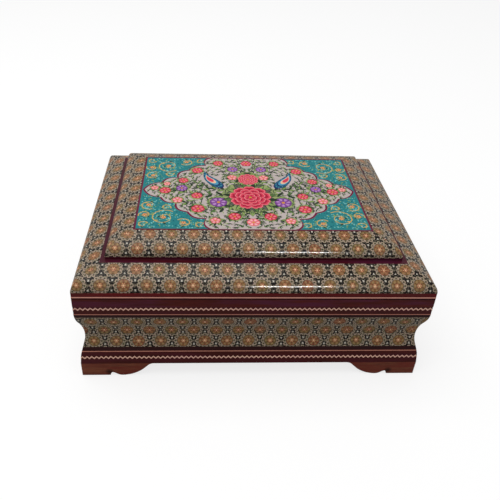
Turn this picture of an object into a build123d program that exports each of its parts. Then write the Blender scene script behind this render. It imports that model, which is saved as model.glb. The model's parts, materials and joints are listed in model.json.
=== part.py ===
from build123d import *
import os
from dataclasses import dataclass
from math import atan2, cos, degrees, radians, sin

os.makedirs("parts", exist_ok=True)

# A hinged storage box covered in geometric marquetry. Millimetres.
# X runs along the length, the front faces -Y and the table is Z = 0.
# "Inset" is the distance inward from the vertical face of the rim, the same on all four sides.

# Overall sizes
LENGTH = 270.0
DEPTH = 202.0

# Timber, veneer and lining thicknesses
WALL = 12.0
VENEER = 1.5
RABBET = 4.0
BOARD = 6.0
FELT = 1.2
BOARD_FIT = 0.25
BOARD_RECESS = 0.75

# Heights of the stacked bands, from the table up
FOOT_HEIGHT = 13.3
BASE_BAND_HEIGHT = 8.7
LOWER_MID_HEIGHT = 2.7
LOWER_LINE_HEIGHT = 1.2
LOWER_DARK_HEIGHT = 3.1
BODY_MARQUETRY_HEIGHT = 33.5
UPPER_DARK_HEIGHT = 3.0
UPPER_LINE_HEIGHT = 1.0
UPPER_BAND_HEIGHT = 6.9
RIM_STRIP_HEIGHT = 7.4
LID_GAP = 0.4
LID_LINE_HEIGHT = 2.3
LID_RIM_HEIGHT = 3.5

# Hollow profile of the body
BASE_INSET = 0.1
BAND_INSET = 1.0
WAIST_INSET = 5.2
WAIST_RISE = 11.5
HOLLOW_RADIUS = 30.0
HOLLOW_TURN = 20.0
UPPER_HOLLOW_SHARE = 0.57

# Zigzag stringing, let into a channel
ZIGZAG_PITCH = 4.0
ZIGZAG_SWING = 1.9
ZIGZAG_WIDTH = 1.7
ZIGZAG_DEPTH = 0.8
ZIGZAG_FIT = 0.05
UPPER_ZIGZAG_RISE = 3.0
LOWER_ZIGZAG_RISE = 4.5

# Bracket feet, measured along the side from the corner
FOOT_THICKNESS = 8.0
FOOT_TOP_INSET = 0.2
FOOT_TOE_INSET = 1.1
TOE_WIDTH = 24.0
NOTCH_PEAK = 26.4
NOTCH_RISE = 4.6
LOBE_START = 31.0
LOBE_END = 38.0
BRACKET_LENGTH = 57.0

# Lid: bullnosed skirt, flat ledge, raised panel with a bullnosed border
SKIRT_NOSE = 9.0
SKIRT_NOSE_TURN = 66.0
SKIRT_BACK = 93.0
SKIRT_BACK_TURN = 8.8
LEDGE_WIDTH = 3.75
STEP_HEIGHT = 2.3
BORDER_NOSE = 8.0
BORDER_NOSE_TURN = 72.0
BORDER_BACK = 137.0
BORDER_BACK_TURN = 6.0
STRINGING_WIDTH = 1.6
LID_FLANGE_WIDTH = 34.0
LID_FLANGE = 5.0
LID_LINING = 1.5
LINING_DROP = 2.0

# Butt hinges, let into the back edge
HINGE_SPACING = 150.0
HINGE_LENGTH = 24.0
LEAF_WIDTH = 8.5
LEAF = 0.8
KNUCKLE_RADIUS = 1.7
PIN_RADIUS = 0.8
PIN_FIT = 0.05
KNUCKLE_GAP = 0.4
POCKET_FIT = 0.3
BEVEL_ANGLE = 50.0

# Share of the shorter side that a mitre reaches inward; every section ends before it
MITRE_SHARE = 0.45

# Levels worked out from the bands
Z_FOOT = FOOT_HEIGHT
Z_BASE = Z_FOOT + BASE_BAND_HEIGHT
Z_LOWER_MID = Z_BASE + LOWER_MID_HEIGHT
Z_LOWER_LINE = Z_LOWER_MID + LOWER_LINE_HEIGHT
Z_LOWER_DARK = Z_LOWER_LINE + LOWER_DARK_HEIGHT
Z_MARQUETRY = Z_LOWER_DARK + BODY_MARQUETRY_HEIGHT
Z_UPPER_DARK = Z_MARQUETRY + UPPER_DARK_HEIGHT
Z_UPPER_LINE = Z_UPPER_DARK + UPPER_LINE_HEIGHT
Z_UPPER_BAND = Z_UPPER_LINE + UPPER_BAND_HEIGHT
Z_BODY_TOP = Z_UPPER_BAND + RIM_STRIP_HEIGHT
Z_AXIS = Z_BODY_TOP + LID_GAP / 2
Z_LID = Z_BODY_TOP + LID_GAP
Z_LID_LINE = Z_LID + LID_LINE_HEIGHT
Z_SKIRT = Z_LID_LINE + LID_RIM_HEIGHT
Z_WAIST = Z_LOWER_DARK + WAIST_RISE
Z_FLOOR = Z_FOOT + BOARD + BOARD_RECESS
Y_AXIS = DEPTH / 2 - KNUCKLE_RADIUS


@dataclass
class Side:
    """One side of the box: where its sections are drawn, and how far it runs."""

    name: str
    inward: tuple
    along: tuple
    half: float
    setback: float

    def section_plane(self):
        origin = Vector(*self.inward) * -self.setback
        return Plane(origin, x_dir=self.inward, z_dir=Vector(*self.inward).cross(Vector(0, 0, 1)))

    def elevation(self, inset=0.0, height=0.0, tilt=0.0):
        """The plane seen from outside the box, leaning back by tilt degrees."""
        origin = Vector(*self.inward) * (inset - self.setback) + Vector(0, 0, height)
        facing = Vector(*self.inward) * -cos(radians(tilt)) + Vector(0, 0, sin(radians(tilt)))
        return Plane(origin, x_dir=self.along, z_dir=facing)

    def mitre_outline(self):
        """The side's share of the plan, bounded by the two corner diagonals."""
        reach = MITRE_SHARE * min(LENGTH, DEPTH)
        outer = Vector(*self.inward) * -self.setback
        inner = Vector(*self.inward) * (reach - self.setback)
        run = Vector(*self.along)
        corners = [
            outer - run * self.half,
            outer + run * self.half,
            inner + run * (self.half - reach),
            inner - run * (self.half - reach),
        ]
        return [(corner.X, corner.Y) for corner in corners]


SIDES = [
    Side("front", (0, 1, 0), (1, 0, 0), LENGTH / 2, DEPTH / 2),
    Side("back", (0, -1, 0), (-1, 0, 0), LENGTH / 2, DEPTH / 2),
    Side("left", (1, 0, 0), (0, -1, 0), DEPTH / 2, LENGTH / 2),
    Side("right", (-1, 0, 0), (0, 1, 0), DEPTH / 2, LENGTH / 2),
]


@dataclass
class Crown:
    """A bullnose that rises upright and rolls over into a long flat arc."""

    inset: float
    height: float
    nose: float
    nose_turn: float
    back: float
    back_turn: float

    def centres(self):
        turn = radians(self.nose_turn)
        nose_x = self.inset + self.nose
        back_x = nose_x + (self.back - self.nose) * cos(turn)
        back_z = self.height - (self.back - self.nose) * sin(turn)
        return (nose_x, self.height), (back_x, back_z)

    def foot(self, under=0.0):
        return (self.inset + under, self.height)

    def end(self, under=0.0):
        back_x, back_z = self.centres()[1]
        turn = radians(self.nose_turn + self.back_turn)
        radius = self.back - under
        return (back_x - radius * cos(turn), back_z + radius * sin(turn))

    def draw(self, under=0.0):
        """Adds the curve, at a depth under the finished surface, to the current line."""
        nose_centre, back_centre = self.centres()
        CenterArc(nose_centre, self.nose - under, 180, -self.nose_turn)
        CenterArc(back_centre, self.back - under, 180 - self.nose_turn, -self.back_turn)


SKIRT = Crown(0.0, Z_SKIRT, SKIRT_NOSE, SKIRT_NOSE_TURN, SKIRT_BACK, SKIRT_BACK_TURN)
LEDGE_INSET, Z_LEDGE = SKIRT.end()
Z_FRAME = SKIRT.end(VENEER)[1]
STEP_INSET = LEDGE_INSET + LEDGE_WIDTH
PANEL_INSET = STEP_INSET + VENEER
BORDER = Crown(
    STEP_INSET, Z_LEDGE + STEP_HEIGHT, BORDER_NOSE, BORDER_NOSE_TURN, BORDER_BACK, BORDER_BACK_TURN
)
STRINGING_INSET, Z_TOP = BORDER.end()
Z_PANEL = BORDER.end(VENEER)[1]
PICTURE_INSET = STRINGING_INSET + STRINGING_WIDTH
Z_CEILING = Z_FRAME - LID_FLANGE


def body_curve(under=0.0):
    """Adds the body's hollow profile, at a depth under the finished surface."""
    turn = radians(HOLLOW_TURN)
    waist = (WAIST_INSET + under, Z_WAIST)
    top = (under, Z_UPPER_LINE)
    flare_start = (
        WAIST_INSET + under - HOLLOW_RADIUS * (1 - cos(turn)),
        Z_WAIST - HOLLOW_RADIUS * sin(turn),
    )
    band_top = (BAND_INSET + under, Z_BASE)
    swell_start = (
        waist[0] + (top[0] - waist[0]) * UPPER_HOLLOW_SHARE,
        waist[1] + (top[1] - waist[1]) * UPPER_HOLLOW_SHARE,
    )
    Line((BASE_INSET + under, Z_FOOT), band_top)
    lower_hollow = TangentArc(waist, flare_start, tangent=(0, -1))
    TangentArc(flare_start, band_top, tangent=lower_hollow % 1)
    upper_hollow = TangentArc(waist, swell_start, tangent=(0, 1))
    TangentArc(swell_start, top, tangent=upper_hollow % 1)
    Line(top, (under, Z_BODY_TOP))


def body_skin(low, high):
    """Section of the veneer layer of the body between two levels."""
    with BuildSketch() as skin:
        with BuildLine():
            body_curve()
            body_curve(VENEER)
            Line((0, Z_BODY_TOP), (VENEER, Z_BODY_TOP))
            Line((BASE_INSET, Z_FOOT), (BASE_INSET + VENEER, Z_FOOT))
        make_face()
        with Locations((WALL / 2, (low + high) / 2)):
            Rectangle(WALL * 2, high - low, mode=Mode.INTERSECT)
    return skin.sketch


def outline(*points):
    """Section with straight edges."""
    with BuildSketch() as shape:
        with BuildLine():
            Polyline(*points, close=True)
        make_face()
    return shape.sketch


def mitre_ends(side):
    """Trims the current part to the side's share of the plan."""
    with BuildSketch() as share:
        with BuildLine():
            Polyline(*side.mitre_outline(), close=True)
        make_face()
    extrude(share.sketch, amount=2 * Z_TOP, both=True, mode=Mode.INTERSECT)


def side_bar(section, side):
    """Runs a section along one side and mitres both ends."""
    with BuildPart() as bar:
        with BuildSketch(side.section_plane()):
            add(section)
        extrude(amount=side.half, both=True)
        mitre_ends(side)
    return bar.part


def side_bars(section):
    return [side_bar(section, side) for side in SIDES]


def finish(piece, name):
    """Names a finished piece and writes it."""
    piece.part.label = name
    export_step(piece.part, f"parts/{name}.step")


def bevel_back_edge(up):
    """Bevels the back edge so that lid and body only meet when the lid is fully open."""
    angle = radians(BEVEL_ANGLE)
    gap = LID_GAP / 2
    start = (gap * cos(angle) - gap) / sin(angle)
    reach = 2 * KNUCKLE_RADIUS
    drop = (gap + reach * sin(angle)) / cos(angle)
    with BuildSketch(Plane.YZ) as bevel:
        with BuildLine():
            Polyline(
                (Y_AXIS + start, Z_AXIS + up * gap),
                (Y_AXIS + reach, Z_AXIS + up * drop),
                (Y_AXIS + reach, Z_AXIS - up * gap),
                (Y_AXIS + start, Z_AXIS - up * gap),
                close=True,
            )
        make_face()
    extrude(bevel.sketch, amount=LENGTH / 2 + WALL, both=True, mode=Mode.SUBTRACT)


def cut_knuckle_pockets():
    """Rounds out the wood around each hinge's knuckles."""
    for x in (-HINGE_SPACING / 2, HINGE_SPACING / 2):
        with Locations((x, Y_AXIS, Z_AXIS)):
            Cylinder(
                KNUCKLE_RADIUS + POCKET_FIT,
                HINGE_LENGTH + 2 * POCKET_FIT,
                rotation=(0, 90, 0),
                mode=Mode.SUBTRACT,
            )


def cut_leaf_mortises(up):
    """Sinks each hinge leaf flush into the face of the wood."""
    leaf_top = Z_AXIS + up * LID_GAP / 2
    for x in (-HINGE_SPACING / 2, HINGE_SPACING / 2):
        with Locations((x, Y_AXIS - LEAF_WIDTH / 2, leaf_top + up * LEAF / 2)):
            Box(HINGE_LENGTH, LEAF_WIDTH, LEAF, mode=Mode.SUBTRACT)


# Body walls: profiled boards, mitred at the corners, rabbeted for the bottom
with BuildSketch() as wall_section:
    with BuildLine():
        body_curve(VENEER)
        Polyline(
            (VENEER, Z_BODY_TOP),
            (WALL, Z_BODY_TOP),
            (WALL, Z_FLOOR),
            (WALL - RABBET, Z_FLOOR),
            (WALL - RABBET, Z_FOOT),
            (BASE_INSET + VENEER, Z_FOOT),
        )
    make_face()

for side in SIDES:
    board = side_bar(wall_section.sketch, side)
    with BuildPart() as wall:
        add(board)
        bevel_back_edge(-1)
        if side.name == "back":
            cut_knuckle_pockets()
            cut_leaf_mortises(-1)
    finish(wall, f"wall_{side.name}")

# Bottom board, dropped into the rabbet from below
with BuildPart() as bottom_board:
    board_inset = WALL - RABBET + BOARD_FIT
    with BuildSketch(Plane.XY.offset(Z_FLOOR)):
        Rectangle(LENGTH - 2 * board_inset, DEPTH - 2 * board_inset)
    extrude(amount=-BOARD)
finish(bottom_board, "bottom_board")

# Geometric marquetry in the hollow of each side
for side in SIDES:
    sheet = side_bar(body_skin(Z_LOWER_DARK, Z_MARQUETRY), side)
    with BuildPart() as body_marquetry:
        add(sheet)
    finish(body_marquetry, f"body_marquetry_{side.name}")

# Plain bandings that run round the body, one above another
BODY_BANDS = {
    "lower_mid_strip": (Z_BASE, Z_LOWER_MID),
    "lower_light_line": (Z_LOWER_MID, Z_LOWER_LINE),
    "lower_dark_strip": (Z_LOWER_LINE, Z_LOWER_DARK),
    "upper_dark_strip": (Z_MARQUETRY, Z_UPPER_DARK),
    "upper_light_line": (Z_UPPER_DARK, Z_UPPER_LINE),
}
for name, (low, high) in BODY_BANDS.items():
    bars = side_bars(body_skin(low, high))
    with BuildPart() as band:
        add(bars)
    finish(band, name)

rim_bars = side_bars(body_skin(Z_UPPER_BAND, Z_BODY_TOP))
with BuildPart() as body_rim_strip:
    add(rim_bars)
    bevel_back_edge(-1)
    cut_knuckle_pockets()
finish(body_rim_strip, "body_rim_strip")

# Grounds of the zigzag stringing, each with a channel as deep as the stringing
ZIGZAG_HEIGHT = ZIGZAG_SWING + ZIGZAG_WIDTH
CHANNEL = ZIGZAG_HEIGHT + 2 * ZIGZAG_FIT
BAND_TILT = degrees(atan2(BAND_INSET - BASE_INSET, BASE_BAND_HEIGHT))


def on_base_band(rise, depth):
    """A point of the sloping base band: so far up its face, so deep under it."""
    lean = radians(BAND_TILT)
    inset = BASE_INSET + rise * sin(lean) + depth * cos(lean)
    return (inset, Z_FOOT + rise * cos(lean) - depth * sin(lean))


with BuildSketch() as upper_ground_section:
    add(body_skin(Z_UPPER_LINE, Z_UPPER_BAND))
    with Locations((0, Z_UPPER_LINE + UPPER_ZIGZAG_RISE + CHANNEL / 2)):
        Rectangle(2 * ZIGZAG_DEPTH, CHANNEL, mode=Mode.SUBTRACT)
upper_ground_bars = side_bars(upper_ground_section.sketch)
with BuildPart() as upper_zigzag_ground:
    add(upper_ground_bars)
finish(upper_zigzag_ground, "upper_zigzag_ground")

with BuildSketch() as lower_ground_section:
    add(body_skin(Z_FOOT, Z_BASE))
    with BuildLine():
        Polyline(
            on_base_band(LOWER_ZIGZAG_RISE, -ZIGZAG_DEPTH),
            on_base_band(LOWER_ZIGZAG_RISE, ZIGZAG_DEPTH),
            on_base_band(LOWER_ZIGZAG_RISE + CHANNEL, ZIGZAG_DEPTH),
            on_base_band(LOWER_ZIGZAG_RISE + CHANNEL, -ZIGZAG_DEPTH),
            close=True,
        )
    make_face(mode=Mode.SUBTRACT)
lower_ground_bars = side_bars(lower_ground_section.sketch)
with BuildPart() as lower_zigzag_ground:
    add(lower_ground_bars)
finish(lower_zigzag_ground, "lower_zigzag_ground")


def zigzag_run(side, inset, height, tilt, rise):
    """One side's zigzag ribbon, lying in its channel and mitred at the corners."""
    turns = 2 * round(side.half * 2 / ZIGZAG_PITCH)
    step = side.half * 2 / turns
    middle = rise + ZIGZAG_FIT + ZIGZAG_HEIGHT / 2
    low_edge = []
    for i in range(turns + 1):
        swing = ZIGZAG_SWING / 2 if i % 2 else -ZIGZAG_SWING / 2
        low_edge.append((-side.half + i * step, middle + swing - ZIGZAG_WIDTH / 2))
    high_edge = [(x, y + ZIGZAG_WIDTH) for x, y in reversed(low_edge)]
    with BuildPart() as ribbon:
        with BuildSketch(side.elevation(inset, height, tilt)):
            with BuildLine():
                Polyline(*low_edge, *high_edge, close=True)
            make_face()
        extrude(amount=-ZIGZAG_DEPTH)
        mitre_ends(side)
    return ribbon.part


upper_runs = [zigzag_run(side, 0, Z_UPPER_LINE, 0, UPPER_ZIGZAG_RISE) for side in SIDES]
with BuildPart() as upper_zigzag:
    add(upper_runs)
finish(upper_zigzag, "upper_zigzag")

lower_runs = [
    zigzag_run(side, BASE_INSET, Z_FOOT, BAND_TILT, LOWER_ZIGZAG_RISE) for side in SIDES
]
with BuildPart() as lower_zigzag:
    add(lower_runs)
finish(lower_zigzag, "lower_zigzag")

# Bracket feet: two mitred arms at each corner, with a toe, a notch and a scrolled lobe
foot_section = outline(
    (FOOT_TOP_INSET, Z_FOOT),
    (FOOT_TOE_INSET, 0),
    (FOOT_TOP_INSET + FOOT_THICKNESS, 0),
    (FOOT_TOP_INSET + FOOT_THICKNESS, Z_FOOT),
)


def foot_outline(half, end):
    """Elevation of one arm, drawn inward from the corner at the given end."""

    def at(run, rise):
        return (end * (half - run), rise)

    scroll_middle = at((LOBE_END + BRACKET_LENGTH) / 2, Z_FOOT / 2)
    Polyline(at(LOBE_START, 0), at(LOBE_END, 0))
    lobe_back = TangentArc(at(LOBE_END, 0), scroll_middle, tangent=(-end, 0))
    TangentArc(scroll_middle, at(BRACKET_LENGTH, Z_FOOT), tangent=lobe_back % 1)
    Polyline(
        at(BRACKET_LENGTH, Z_FOOT),
        at(-1, Z_FOOT),
        at(-1, 0),
        at(TOE_WIDTH, 0),
        at(NOTCH_PEAK, NOTCH_RISE),
    )
    TangentArc(at(LOBE_START, 0), at(NOTCH_PEAK, NOTCH_RISE), tangent=(end, 0))


END_NAMES = {
    "front": {-1: "left", 1: "right"},
    "back": {-1: "right", 1: "left"},
    "left": {-1: "back", 1: "front"},
    "right": {-1: "front", 1: "back"},
}
for side in SIDES:
    rail = side_bar(foot_section, side)
    for end in (-1, 1):
        with BuildPart() as foot:
            add(rail)
            with BuildSketch(side.elevation()):
                with BuildLine():
                    foot_outline(side.half, end)
                make_face()
            extrude(amount=2 * FOOT_THICKNESS, both=True, mode=Mode.INTERSECT)
        finish(foot, f"foot_{side.name}_{END_NAMES[side.name][end]}")

# Velvet lining of the body
Z_LINING_TOP = Z_BODY_TOP - LINING_DROP
lining_section = outline(
    (WALL, Z_FLOOR),
    (WALL + FELT, Z_FLOOR),
    (WALL + FELT, Z_LINING_TOP),
    (WALL, Z_LINING_TOP),
)
for side in SIDES:
    cloth = side_bar(lining_section, side)
    with BuildPart() as lining:
        add(cloth)
    finish(lining, f"lining_{side.name}")

with BuildPart() as lining_floor:
    floor_inset = WALL + FELT
    with BuildSketch(Plane.XY.offset(Z_FLOOR)):
        Rectangle(LENGTH - 2 * floor_inset, DEPTH - 2 * floor_inset)
    extrude(amount=FELT)
finish(lining_floor, "lining_floor")

# Lid frame: four mitred mouldings with a flange that carries the raised panel
with BuildSketch() as frame_section:
    with BuildLine():
        SKIRT.draw(VENEER)
        Polyline(
            SKIRT.end(VENEER),
            (LID_FLANGE_WIDTH, Z_FRAME),
            (LID_FLANGE_WIDTH, Z_CEILING),
            (WALL, Z_CEILING),
            (WALL, Z_LID),
            (VENEER, Z_LID),
            SKIRT.foot(VENEER),
        )
    make_face()
for side in SIDES:
    moulding = side_bar(frame_section.sketch, side)
    with BuildPart() as lid_frame:
        add(moulding)
        bevel_back_edge(1)
        if side.name == "back":
            cut_knuckle_pockets()
            cut_leaf_mortises(1)
    finish(lid_frame, f"lid_frame_{side.name}")

# Raised panel board, with its edge shaped under the border veneer


def raised_profile(half):
    """Section through the middle of the board, from one edge to the other."""
    with BuildSketch() as profile:
        with BuildLine():
            BORDER.draw(VENEER)
            Polyline(
                BORDER.end(VENEER),
                (half, Z_PANEL),
                (half, Z_FRAME),
                (PANEL_INSET, Z_FRAME),
                BORDER.foot(VENEER),
            )
        make_face()
        mirror(about=Plane.YZ.offset(half))
    return profile.sketch


depth_profile = raised_profile(DEPTH / 2)
length_profile = raised_profile(LENGTH / 2)
with BuildPart() as raised_panel:
    with BuildSketch(SIDES[0].section_plane()):
        add(depth_profile)
    extrude(amount=LENGTH / 2, both=True)
    with BuildSketch(SIDES[2].section_plane()):
        add(length_profile)
    extrude(amount=DEPTH / 2, both=True, mode=Mode.INTERSECT)
finish(raised_panel, "raised_panel")


def crown_skin(crown):
    """Section of the marquetry sheet bent over a crown."""
    with BuildSketch() as skin:
        with BuildLine():
            crown.draw()
            crown.draw(VENEER)
            Line(crown.foot(), crown.foot(VENEER))
            Line(crown.end(), crown.end(VENEER))
        make_face()
    return skin.sketch


for side in SIDES:
    sheet = side_bar(crown_skin(SKIRT), side)
    with BuildPart() as skirt_marquetry:
        add(sheet)
    finish(skirt_marquetry, f"skirt_marquetry_{side.name}")

for side in SIDES:
    sheet = side_bar(crown_skin(BORDER), side)
    with BuildPart() as border_marquetry:
        add(sheet)
    finish(border_marquetry, f"border_marquetry_{side.name}")

# Edge bandings of the lid
line_bars = side_bars(
    outline((0, Z_LID), (VENEER, Z_LID), (VENEER, Z_LID_LINE), (0, Z_LID_LINE))
)
with BuildPart() as lid_light_line:
    add(line_bars)
    bevel_back_edge(1)
    cut_knuckle_pockets()
finish(lid_light_line, "lid_light_line")

crimson_bars = side_bars(
    outline((0, Z_LID_LINE), (VENEER, Z_LID_LINE), (VENEER, Z_SKIRT), (0, Z_SKIRT))
)
with BuildPart() as lid_rim_strip:
    add(crimson_bars)
finish(lid_rim_strip, "lid_rim_strip")

ledge_bars = side_bars(
    outline(
        SKIRT.end(),
        SKIRT.end(VENEER),
        (PANEL_INSET, Z_FRAME),
        BORDER.foot(VENEER),
        BORDER.foot(),
        (STEP_INSET, Z_LEDGE),
    )
)
with BuildPart() as ledge_strip:
    add(ledge_bars)
finish(ledge_strip, "ledge_strip")

stringing_bars = side_bars(
    outline(
        BORDER.end(),
        BORDER.end(VENEER),
        (PICTURE_INSET, Z_PANEL),
        (PICTURE_INSET, Z_TOP),
    )
)
with BuildPart() as picture_stringing:
    add(stringing_bars)
finish(picture_stringing, "picture_stringing")

# Painted panel, flush with its stringing
with BuildPart() as picture_panel:
    with BuildSketch(Plane.XY.offset(Z_PANEL)):
        Rectangle(LENGTH - 2 * PICTURE_INSET, DEPTH - 2 * PICTURE_INSET)
    extrude(amount=Z_TOP - Z_PANEL)
finish(picture_panel, "picture_panel")

# Lining of the lid
with BuildPart() as lid_lining:
    with BuildSketch(Plane.XY.offset(Z_CEILING)):
        Rectangle(LENGTH - 2 * WALL, DEPTH - 2 * WALL)
    extrude(amount=-LID_LINING)
finish(lid_lining, "lid_lining")

lid_cloth_bars = side_bars(
    outline(
        (WALL, Z_LID + LINING_DROP),
        (WALL + FELT, Z_LID + LINING_DROP),
        (WALL + FELT, Z_CEILING - LID_LINING),
        (WALL, Z_CEILING - LID_LINING),
    )
)
with BuildPart() as lid_lining_sides:
    add(lid_cloth_bars)
finish(lid_lining_sides, "lid_lining_sides")

# Butt hinges: the body's leaf has the two outer knuckles, the lid's leaf the middle one
KNUCKLE = (HINGE_LENGTH - 2 * KNUCKLE_GAP) / 3
OUTER_KNUCKLE = (HINGE_LENGTH - KNUCKLE) / 2


def hinge_leaf(x, up, knuckles, relief):
    """Adds a leaf flush with its mortise, its knuckles, and notches for the other leaf's."""
    leaf_middle = Z_AXIS + up * (LID_GAP + LEAF) / 2
    notch = 2 * (KNUCKLE_RADIUS + POCKET_FIT)
    with Locations((x, Y_AXIS - LEAF_WIDTH / 2, leaf_middle)):
        Box(HINGE_LENGTH, LEAF_WIDTH, LEAF)
    for offset, length in relief:
        with Locations((x + offset, Y_AXIS, Z_AXIS)):
            Box(length + 2 * KNUCKLE_GAP, notch, notch, mode=Mode.SUBTRACT)
    for offset, length in knuckles:
        with Locations((x + offset, Y_AXIS, Z_AXIS)):
            Cylinder(KNUCKLE_RADIUS, length, rotation=(0, 90, 0))


for hand, x in (("left", -HINGE_SPACING / 2), ("right", HINGE_SPACING / 2)):
    outer_knuckles = [(-OUTER_KNUCKLE, KNUCKLE), (OUTER_KNUCKLE, KNUCKLE)]
    middle_knuckle = [(0, KNUCKLE)]
    with BuildPart() as hinge_body_leaf:
        hinge_leaf(x, -1, outer_knuckles, middle_knuckle)
        with Locations((x, Y_AXIS, Z_AXIS)):
            Cylinder(PIN_RADIUS, HINGE_LENGTH, rotation=(0, 90, 0), mode=Mode.SUBTRACT)
    finish(hinge_body_leaf, f"hinge_body_leaf_{hand}")

    with BuildPart() as hinge_lid_leaf:
        hinge_leaf(x, 1, middle_knuckle, outer_knuckles)
        with Locations((x, Y_AXIS, Z_AXIS)):
            bore = PIN_RADIUS + PIN_FIT
            Cylinder(bore, HINGE_LENGTH, rotation=(0, 90, 0), mode=Mode.SUBTRACT)
    finish(hinge_lid_leaf, f"hinge_lid_leaf_{hand}")

    with BuildPart() as hinge_pin:
        with Locations((x, Y_AXIS, Z_AXIS)):
            Cylinder(PIN_RADIUS, HINGE_LENGTH, rotation=(0, 90, 0))
    finish(hinge_pin, f"hinge_pin_{hand}")

print("body top", Z_BODY_TOP, "hinge axis", Y_AXIS, Z_AXIS)
print("floor", Z_FLOOR, "lining top", Z_LINING_TOP, "lid ceiling", Z_CEILING - LID_LINING)
print("ledge", LEDGE_INSET, Z_LEDGE, "stringing", STRINGING_INSET, "top", Z_TOP)
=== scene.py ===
import json
import math
import random

import bmesh
import bpy
from mathutils import Matrix, Vector, noise
from mathutils.geometry import delaunay_2d_cdt

# A hinged box veneered in geometric marquetry, with a painted panel in its lid.
# Meshes are drawn in millimetres and scaled once. "Inset" is the distance inward from the
# vertical face of the rim, and "run" is the distance along a side from its middle.
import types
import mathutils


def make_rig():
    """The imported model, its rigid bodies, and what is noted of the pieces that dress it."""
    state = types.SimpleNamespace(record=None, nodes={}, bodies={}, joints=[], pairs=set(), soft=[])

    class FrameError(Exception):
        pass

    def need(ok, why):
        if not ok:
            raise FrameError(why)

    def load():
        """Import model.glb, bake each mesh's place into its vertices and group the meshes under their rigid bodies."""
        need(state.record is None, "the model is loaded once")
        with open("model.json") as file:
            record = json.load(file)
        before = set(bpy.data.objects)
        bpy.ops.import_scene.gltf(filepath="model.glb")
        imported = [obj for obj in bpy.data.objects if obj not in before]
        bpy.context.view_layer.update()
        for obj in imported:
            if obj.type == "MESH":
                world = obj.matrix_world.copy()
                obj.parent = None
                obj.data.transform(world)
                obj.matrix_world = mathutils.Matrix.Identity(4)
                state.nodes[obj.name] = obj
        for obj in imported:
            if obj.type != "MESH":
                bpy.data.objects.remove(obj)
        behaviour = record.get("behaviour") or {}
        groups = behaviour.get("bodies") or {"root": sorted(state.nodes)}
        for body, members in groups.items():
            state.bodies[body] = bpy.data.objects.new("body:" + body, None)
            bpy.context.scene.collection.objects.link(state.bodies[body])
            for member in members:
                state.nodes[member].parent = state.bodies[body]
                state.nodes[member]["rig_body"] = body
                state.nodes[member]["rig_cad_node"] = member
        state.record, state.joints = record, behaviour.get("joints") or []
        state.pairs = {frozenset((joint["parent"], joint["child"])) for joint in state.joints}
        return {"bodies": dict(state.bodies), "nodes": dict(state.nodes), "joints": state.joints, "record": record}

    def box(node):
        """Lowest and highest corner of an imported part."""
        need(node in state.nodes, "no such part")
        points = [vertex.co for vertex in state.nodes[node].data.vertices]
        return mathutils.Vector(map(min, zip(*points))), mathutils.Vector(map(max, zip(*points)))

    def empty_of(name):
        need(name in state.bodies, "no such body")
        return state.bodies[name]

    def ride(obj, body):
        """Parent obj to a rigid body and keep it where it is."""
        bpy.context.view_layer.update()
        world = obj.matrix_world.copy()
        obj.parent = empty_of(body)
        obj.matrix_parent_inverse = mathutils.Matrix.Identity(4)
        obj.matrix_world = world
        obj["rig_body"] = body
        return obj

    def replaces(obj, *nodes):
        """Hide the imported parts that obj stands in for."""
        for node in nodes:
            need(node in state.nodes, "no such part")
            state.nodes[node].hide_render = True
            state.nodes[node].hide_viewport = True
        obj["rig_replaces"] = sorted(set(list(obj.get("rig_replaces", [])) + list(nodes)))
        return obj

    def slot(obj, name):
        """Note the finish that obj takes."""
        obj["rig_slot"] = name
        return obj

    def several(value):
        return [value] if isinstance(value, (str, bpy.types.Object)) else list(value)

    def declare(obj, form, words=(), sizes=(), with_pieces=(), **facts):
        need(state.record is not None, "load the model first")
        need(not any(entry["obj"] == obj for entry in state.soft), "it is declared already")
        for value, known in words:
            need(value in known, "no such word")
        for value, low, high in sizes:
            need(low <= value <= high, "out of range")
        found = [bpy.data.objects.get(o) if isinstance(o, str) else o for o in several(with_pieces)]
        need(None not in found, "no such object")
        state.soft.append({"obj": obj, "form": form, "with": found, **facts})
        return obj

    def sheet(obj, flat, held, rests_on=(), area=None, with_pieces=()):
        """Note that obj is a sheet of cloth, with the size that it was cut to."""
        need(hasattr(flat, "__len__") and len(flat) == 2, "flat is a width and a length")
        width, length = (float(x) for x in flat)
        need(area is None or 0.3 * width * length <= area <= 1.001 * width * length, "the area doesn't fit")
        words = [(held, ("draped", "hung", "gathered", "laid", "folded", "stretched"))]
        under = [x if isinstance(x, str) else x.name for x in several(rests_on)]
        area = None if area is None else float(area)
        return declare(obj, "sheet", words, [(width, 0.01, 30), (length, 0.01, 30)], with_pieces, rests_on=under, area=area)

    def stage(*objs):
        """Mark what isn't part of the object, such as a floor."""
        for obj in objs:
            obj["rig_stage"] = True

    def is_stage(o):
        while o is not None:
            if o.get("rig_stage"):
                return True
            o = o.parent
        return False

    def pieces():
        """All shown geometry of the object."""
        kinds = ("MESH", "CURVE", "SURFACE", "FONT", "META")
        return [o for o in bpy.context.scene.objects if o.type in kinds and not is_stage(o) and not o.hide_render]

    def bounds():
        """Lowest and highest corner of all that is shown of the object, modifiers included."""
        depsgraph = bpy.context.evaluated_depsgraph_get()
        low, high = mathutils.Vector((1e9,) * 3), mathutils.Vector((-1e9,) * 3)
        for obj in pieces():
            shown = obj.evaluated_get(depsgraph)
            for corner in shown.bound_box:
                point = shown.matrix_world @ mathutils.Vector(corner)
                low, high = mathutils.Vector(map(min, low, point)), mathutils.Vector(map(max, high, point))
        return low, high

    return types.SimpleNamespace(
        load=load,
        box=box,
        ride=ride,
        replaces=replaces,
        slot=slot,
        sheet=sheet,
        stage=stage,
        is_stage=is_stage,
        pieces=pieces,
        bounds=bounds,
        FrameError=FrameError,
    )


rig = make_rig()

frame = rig.load()
nodes = frame["nodes"]
cad_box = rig.bounds()
MM = 0.001
HALF_LENGTH = cad_box[1].x / MM
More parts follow.
